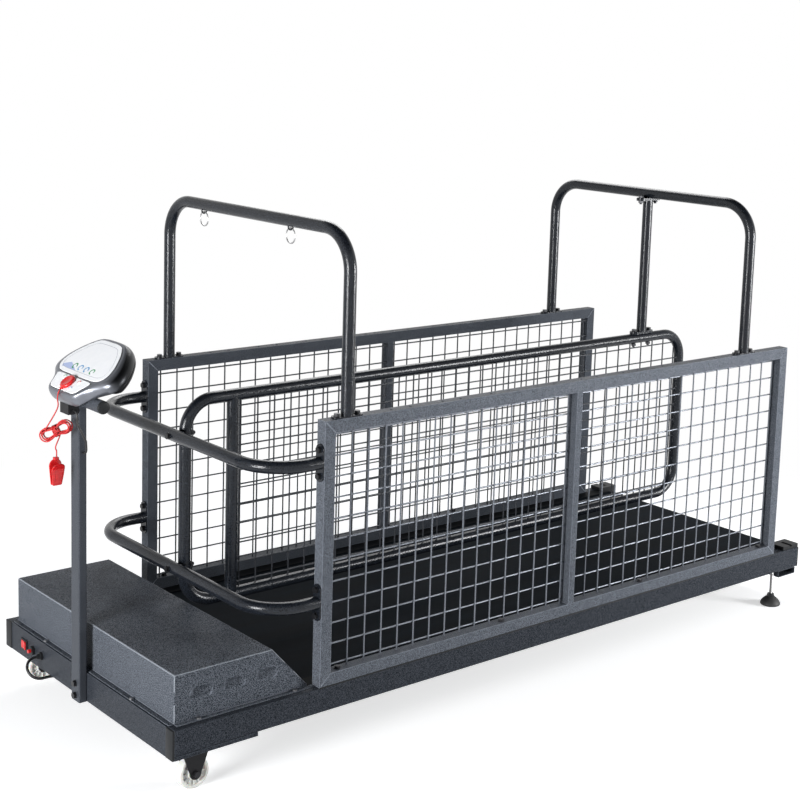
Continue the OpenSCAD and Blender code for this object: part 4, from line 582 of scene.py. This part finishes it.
def shade_rolled_sides(finish, dark):
    """Painted shade: the finish turns dark where the console's side rolls over, and stays as it is
    towards the front lip.

    Roll = 1 - normal . face normal, from 0.06 to 0.25. Up the slope the change runs from 50 to 5 mm below
    the middle.
    """
    tree = finish.node_tree
    shader = tree.nodes["Principled BSDF"]
    paint = shader.inputs["Base Color"].links[0].from_socket
    c, s = np.cos(console_tilt), np.sin(console_tilt)
    middle = float(to_row(console_at) @ (c, 0, s))
    both, mix = node(tree, "Math", "MULTIPLY"), node(tree, "Mix")
    mix.data_type = "RGBA"
    mix.inputs[7].default_value = (*dark, 1)
    for slot, (kind, name, way, low, high) in enumerate((
            ("NewGeometry", "Normal", (-s, 0, c), 0.94, 0.75),
            ("TexCoord", "Object", (c, 0, s), middle - 0.050, middle - 0.005))):
        source, dot = node(tree, kind), node(tree, "VectorMath", "DOT_PRODUCT")
        dot.inputs[1].default_value = way
        fade = node(tree, "MapRange", From_Min=low, From_Max=high)
        fade.interpolation_type = "SMOOTHSTEP"
        wire(tree, (source.outputs[name], dot.inputs[0]), (dot.outputs["Value"], fade.inputs["Value"]),
             (fade.outputs["Result"], both.inputs[slot]))
    wire(tree, (both.outputs[0], mix.inputs[0]), (paint, mix.inputs[6]),
         (mix.outputs[2], shader.inputs["Base Color"]))


# Painted shade: the rolled sides of the silver front are darkened nearly to black.
shade_rolled_sides(silver, (0.012, 0.013, 0.015))
put("Console_shell", [stacked(shell_loops, shell_heights)], "base", silver,
    ["console_shell"], sharp=50)
back_edge = smooth_loop([
    (87, 0), (86.4, 30), (83.4, 53), (75.5, 71), (60, 91.5), (37, 112), (14, 125.5), (-6, 130), (-19, 126),
    (-28, 113), (-33, 90), (-34, 55), (-34, 0)])
back_insets = (3, 1.4, 0.8, 1.2, 3.2, 8, 13, 17)
back_heights = (-29.6, -30.4, -31.6, -34, -38.4, -43.6, -46.8, -48)
put("Console_back", [stacked([drawn_in(back_edge, inset) for inset in back_insets], back_heights)], "base",
    black_satin, ["console_back"], sharp=50)

# Face films and marks. Two printed films on the console face, the clear display above and the key film
# below, each in a dark seam, with ring marks low on the display and arcs on the three keys.
film_white = blotched("Film_white", (0.80, 0.82, 0.85), (0.86, 0.87, 0.89), grain=60, spread=0.4,
                      rough=0.16, bump=0.02, specular=0.3)
film_edge = blotched("Film_edge", (0.02, 0.02, 0.022), (0.05, 0.05, 0.055), grain=700, spread=0.3,
                     rough=0.3, bump=0.05)
display_edge = smooth_loop([
    (77, 0), (76.5, 28), (73.5, 47), (66, 60), (50, 77.5), (28, 94), (8, 104.5), (-9, 107), (-23, 103),
    (-33, 92), (-37.6, 76), (-38.8, 50), (-39, 0)])
key_film_edge = smooth_loop([
    (-41, 0), (-41, 45), (-41.6, 70), (-44.5, 77), (-52, 75), (-64, 68.5), (-76, 62), (-82.6, 56),
    (-85.6, 45), (-86, 25), (-86, 0)])
film_loops = (display_edge, key_film_edge)
put("Face_films", [stacked([drawn_in(edge, inset) for inset in (1.2, 1.2, 1.7)], (0, 1.5, 2.0))
                   for edge in film_loops], "base", film_white, ["face_overlays"])
put("Film_edges", [stacked([drawn_in(edge, inset) for inset in (0, 0, 0.8)], (-0.2, 0.4, 0.6))
                   for edge in film_loops], "base", film_edge)


def arc_mark(v, y, r, width, start, end, low, high):
    """A printed arc of that radius and width about (v, y), standing from low to high on the face."""
    n = 33
    a = np.radians(np.linspace(start, end, n))[:, None]
    ring = r + np.array((-width / 2, width / 2, width / 2, -width / 2))[None]
    w = np.broadcast_to((low, low, high, high), (n, 4))
    return faced(capped(np.stack([v + ring * np.cos(a), y + ring * np.sin(a), w], -1)))


def strip(loop, inset, width, w):
    """A flat printed line of that width, drawn in from an outline and lying at height w on the face."""
    pair = np.stack([np.column_stack([drawn_in(loop, d), np.full(len(loop), w)])
                     for d in (inset, inset + width)])
    return skin(on_face(pair), round_v=True)


printed = {"grain": 900, "spread": 0.3, "rough": 0.3, "bump": 0.03}
line_grey = blotched("Line_grey", (0.22, 0.24, 0.30), (0.30, 0.32, 0.38), **printed)
wedge_blue = blotched("Wedge_blue", (0.34, 0.42, 0.66), (0.42, 0.50, 0.74), **printed)
put("Display_line", [strip(display_edge, 11.5, 0.9, 2.06)], "base", line_grey)
wedge = np.array([(-26.5, 87), (-19, 91), (-8, 66), (-27, 20)], float)
put("Display_wedge", [stacked([wedge, wedge], (1.9, 2.05))], "base", wedge_blue)
mark_green = blotched("Mark_green", (0.012, 0.22, 0.07), (0.02, 0.28, 0.10), **printed)
mark_blue = blotched("Mark_blue", (0.05, 0.26, 0.52), (0.09, 0.33, 0.60), **printed)
mark_red = blotched("Mark_red", (0.50, 0.015, 0.02), (0.60, 0.025, 0.03), **printed)
ring_v, ring_gap, ring_r, ring_width = -15.0, 27.0, 7.2, 3.2
for colour, gaps, paint in (("green", 1.5, mark_green), ("blue", 0.5, mark_blue)):
    rings = [arc_mark(ring_v, s * gaps * ring_gap, ring_r, ring_width, -100, 190, 1.9, 2.1)
             for s in (1, -1)]
    put(f"Display_marks_{colour}", rings, "base", paint)
key_rows = [(0, 0), (6.2, 0), (6.8, 0.3), (7, 0.8), (6.7, 1.3), (5.6, 1.6), (3, 1.8), (0, 1.85)]
key_places = (("green", -50, 34, mark_green), ("red", -52, -37, mark_red), ("blue", -74, -27, mark_blue))
for colour, v, y, paint in key_places:
    body, slot = f"{colour}_key", f"{colour}_plastic"
    put(f"Key_{colour}", [faced(turned(key_rows, (v, y, 1.1), "z", 40))], body, film_white, [body])
    put(f"Key_arc_{colour}", [arc_mark(v, y, 4.8, 1.7, -70, 110, 2.5, 2.95)], body, paint)

# Safety key with its lanyard and clip. A red moulded magnet key on the key film, a red braided cord
# tied up in a hank, and a sprung clip that goes on the walker's clothes.
red_gloss = blotched("Red_plastic", (0.52, 0.008, 0.010), (0.62, 0.016, 0.018), grain=700, spread=0.3,
                     rough=0.22, bump=0.05)
key_disc = [(0, 2), (17.4, 2), (18.6, 2.5), (19, 3.6), (19, 7.4), (18.5, 8.7), (17, 9.6), (14.5, 10),
            (12, 9.7), (9, 9.1), (5, 8.8), (0, 8.7)]
key_parts = [turned(key_disc, (-62, -2, 0), "z", 64), block((-84, -7, 2), (-66, 3, 7), 1.8)]
put("Safety_key", [faced(part) for part in key_parts], "safety_key", red_gloss,
    ["safety_key"])


def eased(stations, steps):
    """A smooth line through stations: a Catmull-Rom cubic to each span, with the end stations doubled."""
    stations = np.asarray(stations, float)
    p = np.vstack([stations[:1], stations, stations[-1:]])
    t = (np.arange(steps) / steps)[None, :, None]
    beside = (p[i:len(p) - 3 + i, None] for i in range(4))
    return np.vstack([cubic(*beside, t).reshape(-1, 3), stations[-1:]])


def tube(path, d, sides):
    """A circle of diameter d carried along the path.

    Each ring starts from the last ring's first side, made square to the line there.
    """
    along = unit(np.gradient(path, axis=0))
    side, last = np.empty_like(path), np.array((0.31, 0.52, 0.79))
    for i, t in enumerate(along):
        side[i] = last = unit(last - t * (last @ t))
    a = np.linspace(0, 2 * np.pi, sides, endpoint=False)[None, :, None]
    grid = path[:, None] + d / 2 * (np.cos(a) * side[:, None] + np.sin(a) * np.cross(along, side)[:, None])
    return capped(grid)


def hanked(layers, bends, r, pitch, run, waist, bend_steps, run_steps):
    """Half round bends joined by runs that step and climb, drawn in at the waist.

    Bend h of a layer has radius r + pitch * half its place from the inside, and turns about an end of
    the run; run points ease from one bend to the next and shrink sideways by `waist` at the middle.
    """
    h = np.arange(layers * bends)
    layer, q = h // bends, (h % bends) / 2
    radius = r + pitch * np.where(layer % 2 == 0, (bends - 1) / 2 - q, q)
    a = np.pi * (h[:, None] + np.linspace(0, 1, bend_steps + 1)) + np.pi / 2
    end = np.where(h % 2 == 0, -run / 2, run / 2)
    bend = np.stack([radius[:, None] * np.cos(a) + end[:, None], radius[:, None] * np.sin(a),
                     np.broadcast_to(pitch * layer[:, None], a.shape)], -1)
    t = np.linspace(0, 1, run_steps + 1)[None, 1:-1, None]
    rise = (1 - np.cos(np.pi * t)) / 2
    mix = np.concatenate([t, rise, rise], -1)
    runs = bend[:-1, -1:] + (bend[1:, :1] - bend[:-1, -1:]) * mix
    runs[..., 1] *= 1 - waist * (1 - np.cos(2 * np.pi * t[..., 0])) / 2
    return np.vstack([np.concatenate([bend[:-1], runs], 1).reshape(-1, 3), bend[-1]])


lanyard_d, hank_pitch, hank_layers, hank_bends = 3.0, 5.7, 4, 3
hank_r, hank_run, hank_waist = 3 * lanyard_d, 45.0, 0.36
lanyard_start = on_face((-84, -2, 4.5))
hank_mid, clip_at = lanyard_start + (-9.5, 5, -97.3), lanyard_start + (-6.9, 8, -192.3)
flat = hanked(hank_layers, hank_bends, hank_r, hank_pitch, hank_run, hank_waist, bend_steps=12,
              run_steps=10)
hank_rise, hank_turn = np.radians(26), np.radians(-45)


def hank_place(flat):
    """Flat hank points (along, across, layer height) stood up, one end raised, turned to the viewer."""
    along, across, deep = np.moveaxis(np.asarray(flat, float), -1, 0)
    x = along * np.cos(hank_rise) - across * np.sin(hank_rise)
    y = deep - hank_pitch * (hank_layers - 1) / 2
    z = along * np.sin(hank_rise) + across * np.cos(hank_rise)
    c, sn = np.cos(hank_turn), np.sin(hank_turn)
    return hank_mid + np.stack([x * c - y * sn, x * sn + y * c, z], -1)


hank = hank_place(flat)
hank_in, hank_out = unit(hank[1] - hank[0]), unit(hank[-1] - hank[-2])
down_face = np.array((-np.cos(console_tilt), 0, -np.sin(console_tilt)))
clip_top = clip_at + (0, 0, 32.5)
upper = eased([lanyard_start, lanyard_start + lanyard_d * down_face, lanyard_start + (-6.7, 0.2, -12.3),
               lanyard_start + (-7.9, 0.4, -23.3), lanyard_start + (-8.1, 1, -45.3), hank[0] - 9 * hank_in,
               hank[0] - 4 * hank_in, hank[0]], 6)
lower_lift = hank_pitch * (hank_layers - 1) + lanyard_d + 1
lower = eased([hank[-1], hank[-1] + 4 * hank_out, hank_place((5, 10, lower_lift)),
               hank_place((0, -12, lower_lift)), hank_mid + (0, 2, -37), clip_top + (0, 0, 14),
               clip_top + (0, 0, 4), clip_top], 6)
lanyard_line = np.vstack([upper[:-1], hank, lower[1:]])
braid = blotched("Red_braid", (0.42, 0.006, 0.008), (0.64, 0.022, 0.022), grain=1400, spread=0.12,
                 rough=0.55, bump=0.8)
lanyard = put("Lanyard", [tube(lanyard_line, lanyard_d, 10)], "safety_key", braid,
              ["lanyard", "lanyard_hank"])
wrap_a = np.linspace(0, 2 * np.pi * 3.2, 129)
wrap_round = [np.sign(f) * np.abs(f) ** 0.6 for f in (np.cos(wrap_a), np.sin(wrap_a))]
wrap = hank_place(np.column_stack([(wrap_a / wrap_a[-1] - 0.5) * 10.5, 12.4 * wrap_round[0],
                                   hank_pitch * (hank_layers - 1) / 2 + 2 + 13.7 * wrap_round[1]]))
lanyard_tie = put("Lanyard_tie", [tube(wrap, lanyard_d, 10)], "safety_key", braid)


def paddle(line, thick, grooves=0.0, sides=64):
    """A rounded plate along stations (y, z, half width): squared ellipses of that width and thickness.

    Below the pin, waves across the width cut finger grooves of that depth into the side away from +y.
    """
    y, z, half = (np.asarray(line, float)[:, k, None] for k in range(3))
    a = np.linspace(0, 2 * np.pi, sides, endpoint=False)[None]
    x = half * np.sign(np.cos(a)) * np.abs(np.cos(a)) ** 0.6
    out = np.sign(np.sin(a)) * np.abs(np.sin(a)) ** 0.45 * thick / 2 * np.minimum(1, half / thick)
    low = np.clip((-6 - z) / 5, 0, 1) * np.clip((z + 31) / 3, 0, 1)
    wave = grooves * low * (0.5 + 0.5 * np.cos(2 * np.pi * x / 5.6)) * (np.sin(a) < -0.3)
    grid = np.stack([x, y + out + wave, np.broadcast_to(z, x.shape)], -1)
    return capped(clip_at + grid)


def rounded_end(y, z, half, steps=12):
    """Stations that close a paddle in a half circle above height z."""
    a = np.radians(np.linspace(0, 84, steps))
    return np.column_stack([np.full(steps, y), z + half * np.sin(a), half * np.cos(a)])


pin = np.array([(0, -7.5), (1.7, -7.5), (2, -7.2), (2, 7.2), (1.7, 7.5), (0, 7.5)])
clip_back = np.vstack([[(6.6, -32.5, 9.5), (6.6, -31.6, 10.8), (6.6, -30, 11.4), (6.6, -12, 13.2)],
                       rounded_end(6.6, 12, 15.5)])
clip_parts = [paddle(clip_back, 4)]
for low, high, r in (((-6, -2, 25.6), (6, 8.4, 32.5), 1.9), ((-9.6, 0.2, -32.4), (9.6, 6.6, -26), 1.2),
                     ((4.6, -3.6, -3.8), (7.4, 6, 3.8), 1), ((-7.4, -3.6, -3.8), (-4.6, 6, 3.8), 1)):
    points, faces = block(low, high, r)
    clip_parts.append((points + clip_at, faces))
clip_parts.append(turned(pin, clip_at, "x", 20))
put("Clip_body", clip_parts, "safety_key", red_gloss, ["clip_body"])
jaw_line = [(-2.2, -32.5, 9.8), (-2.4, -31.6, 11), (-2.8, -30, 11.6), (-6.2, -10, 14.2), (-6.8, -4, 15),
            (-7, 2, 15.8), (-8.6, 8, 16), (-10.4, 12, 15), (-12.2, 15.6, 12.6), (-13.6, 18.2, 9.2),
            (-14.5, 19.8, 5), (-14.9, 20.4, 1.6)]
lug, lug_faces = block((-1.4, -6.4, -3.8), (1.4, 3.4, 3.8), 1)
put("Clip_jaw", [paddle(jaw_line, 3.6, 1.1), (lug + clip_at, lug_faces)], "clip_jaw", red_gloss,
    ["clip_jaw"])

# Console cable. A black jacketed cable that leaves the bracket cover, sags beside the post and goes into
# the post's side lower down.
def arc(mid, u, v, r, start, end, steps):
    """Points mid + r * (u cos a + v sin a) for a from start to end degrees."""
    a = np.radians(np.linspace(start, end, steps + 1))[:, None]
    return np.asarray(mid) + r * (np.cos(a) * np.asarray(u) + np.sin(a) * np.asarray(v))


cord_black = blotched("Cord_jacket", (0.008, 0.008, 0.009), (0.017, 0.017, 0.018), grain=500, spread=0.3,
                      rough=0.42, bump=0.06)
cable_top, cable_low = np.array((-31.0, -20, 796)), np.array((-8.0, -20, 694))
cable_d, cable_bend = 5.0, 12.0
cable_line = np.vstack([
    [cable_top], arc(cable_top + (0, -5, -cable_bend), (0, 0, 1), (0, -1, 0), cable_bend, 0, 90, 8),
    eased([cable_top + (1, -17, -30), cable_top + (9, -20, -48), cable_low + (-1, -17, 30)], 5),
    arc(cable_low + (0, -5, cable_bend), (0, -1, 0), (0, 0, -1), cable_bend, 0, 90, 8), [cable_low]])
cable = put("Console_cable", [tube(cable_line, cable_d, 14)], "base", cord_black,
            ["console_cable"])

# Power inlet and mains cord. A red rocker in a black bezel, a breaker button and a cord gland in the
# front pan; the cord drops under the machine, where the spare length lies coiled and tied with its plug.
coat(cap_black, "switch_housings", "cord_gland")
coat(red_gloss, "rocker", "reset_button")


def wound(turns, layers, r, pitch, steps):
    """A flat coil in layers, of that many turns each.

    The radius steps in by pitch a turn and out again in the next layer, and the height climbs by pitch
    over the half turn between layers.
    """
    s = np.arange(int(round((2 * layers * turns + layers - 1) * steps)) + 1) / (2 * steps)
    layer = np.floor((s + 1e-4) / (turns + 0.5))
    q = s - layer * (turns + 0.5)
    radius = r + pitch * np.where(layer % 2 == 0, turns - np.minimum(q, turns), np.minimum(q, turns))
    z = pitch * (layer + 0.5 - 0.5 * np.cos(2 * np.pi * np.maximum(q - turns, 0)))
    a = 2 * np.pi * s + np.pi / 2
    return np.stack([radius * np.cos(a), radius * np.sin(a), z], -1)


cord_d, coil_pitch = 7.0, 8.7
coil_at = np.array((330.0, 165.0, cord_d / 2))
coil = wound(turns=2.75, layers=2, r=31, pitch=coil_pitch, steps=18) * (-1, 1, 1) + coil_at
coil_in, coil_out = unit(coil[1] - coil[0]), unit(coil[-1] - coil[-2])
cord_start, plug_back = np.array((-12.0, 214, 129)), np.array((486, 205, 7.5))
cord_bend, cord_lead = 4 * cord_d, np.array((-4.0, 0, 0))
cord_side = np.array((0, -np.sqrt(0.5), -np.sqrt(0.5)))
cord_under = cord_start + cord_lead + 2 * cord_bend * cord_side
cord_way = cord_under + np.array([(20, 0, -0.4), (46, 0.6, -6), (81, 4, -23), (131, 14, -54),
                                  (181, 29, -78.5), (221, 38, -85.8)])
bend_mid = cord_start + cord_lead + cord_bend * cord_side
fall = np.vstack([[cord_start], arc(bend_mid, -cord_side, (-1, 0, 0), cord_bend, 0, 180, 18),
                  eased([*cord_way, coil[0] - 45 * coil_in, coil[0] - 14 * coil_in], 7)])
fall[:, 2] = np.maximum(fall[:, 2], cord_d / 2)
tail = np.vstack([eased([coil[-1] + 14 * coil_out, coil[-1] + 36 * coil_out + (0, 0, -2.5),
                         coil[-1] + (80, -5, -5.2), plug_back - (36, 0, 0), plug_back - (14, 0, 0)], 7),
                  [plug_back]])
cord_line = np.vstack([fall, coil, tail])
mains = put("Mains_cord", [tube(cord_line, cord_d, 14)], "base", cord_black,
            ["mains_cord", "cord_coil"])
coat(cord_black, "mains_plug")
band_steps = 49
band_a = np.linspace(0, 2 * np.pi, band_steps)[:, None]
band_round = np.column_stack([np.cos(band_a), np.sin(band_a)])
squircle = np.sign(band_round) * np.abs(band_round) ** 0.6
band_out, band_half, band_x, band_z = 41.9, 5.0, 17.0, 8.05
band_grid = np.stack([np.column_stack([coil_at[0] + band_out + (band_x + t) * squircle[:, 0],
                                       np.full(band_steps, coil_at[1] + y),
                                       9.05 + (band_z + t) * squircle[:, 1]])
                      for t, y in ((0, -band_half), (1.0, -band_half), (1.0, band_half),
                                   (0, band_half))], 1)
coil_band = put("Coil_band", [skin(band_grid, round_v=True)], "base", soft_rubber)

# Castor wheels. Milky moulded plastic with twelve ribs between hub and tread, each turning on a bolt in a
# black painted fork.
coat(black_satin, "castor_forks")
milky = blotched("Wheel_milky", (0.70, 0.69, 0.66), (0.78, 0.77, 0.73), grain=120, spread=0.4, rough=0.24,
                 bump=0.03)
milky_shader = milky.node_tree.nodes["Principled BSDF"]
milky_shader.inputs["Transmission Weight"].default_value = 0.08
milky_shader.inputs["Subsurface Weight"].default_value = 0.12
wheel_x, wheel_mid, wheel_r = 75.0, 366.0, 37.5
tyre = np.array([(10.95, -12), (14.5, -12), (15.5, -11), (16.2, -7.2), (18, -6.2), (26, -6.0), (28.2, -7),
                 (29, -10.4), (30.2, -11.6), (33.6, -12), (36, -11.2), (37.2, -9), (37.5, -6)])
tyre = np.vstack([tyre, tyre[::-1] * (1, -1)])
rib, rib_faces = block((15.8, -9.4, -1.1), (29.4, 9.4, 1.1), 0.5, 2)
for side, s in (("right", -1), ("left", 1)):
    wheel_at, body, ribs = (wheel_x, s * wheel_mid, wheel_r), f"{side}_castor_wheel", []
    hub = turned(np.vstack([tyre, tyre[:1]]), wheel_at, "y", 72)
    for angle in np.radians(np.arange(0, 360, 30)):
        c, sn = np.cos(angle), np.sin(angle)
        spoke = np.column_stack([rib[:, 0] * c - rib[:, 2] * sn, rib[:, 1], rib[:, 0] * sn + rib[:, 2] * c])
        ribs.append((spoke + wheel_at, rib_faces))
    put(f"Wheel_{side}", [hub, *ribs], body, milky, [body])

# Levelling feet. A threaded zinc stud with a blackened hex collar, moulded into a black rubber dome and
# screwed up into the rail above.
foot_x, stud_low, stud_top = 2080.0, 36.0, 138.0
pad = [(0, 0), (26.5, 0), (28.8, 0.8), (30, 2.4), (30, 5.2), (29.5, 7.4), (28.2, 10.2), (26, 13.6),
       (23, 17.2), (19.4, 20.6), (16, 23.2), (13.4, 25.2), (12.4, 26), (0, 26)]
crest = np.arange(stud_low, stud_top + 0.1, 0.75)
thread = np.column_stack([np.where(np.arange(len(crest)) % 2, 4.55, 5.0), crest])
stud = np.vstack([[(0, stud_low)], thread, [(3.8, stud_top), (0, stud_top)]])
collar = [(0, 26), (10.6, 26), (11.2, 26.6), (11.2, 30.6), (10.6, 31.2), (9.4, 31.2), (9.8, 31.6),
          (9.8, 35.5), (9.2, 36), (0, 36)]
for side, s in (("right", -1), ("left", 1)):
    spot, body = (foot_x, s * rail_mid, 0), f"{side}_foot"
    put(f"Foot_pad_{side}", [turned(pad, spot, "z", 64)], body, soft_rubber, [body])
    put(f"Foot_nut_{side}", [turned(collar, spot, "z", 6)], body, bolt_black)
    put(f"Foot_stud_{side}", [turned(stud, spot, "z", 28)], body, zinc, sharp=25)
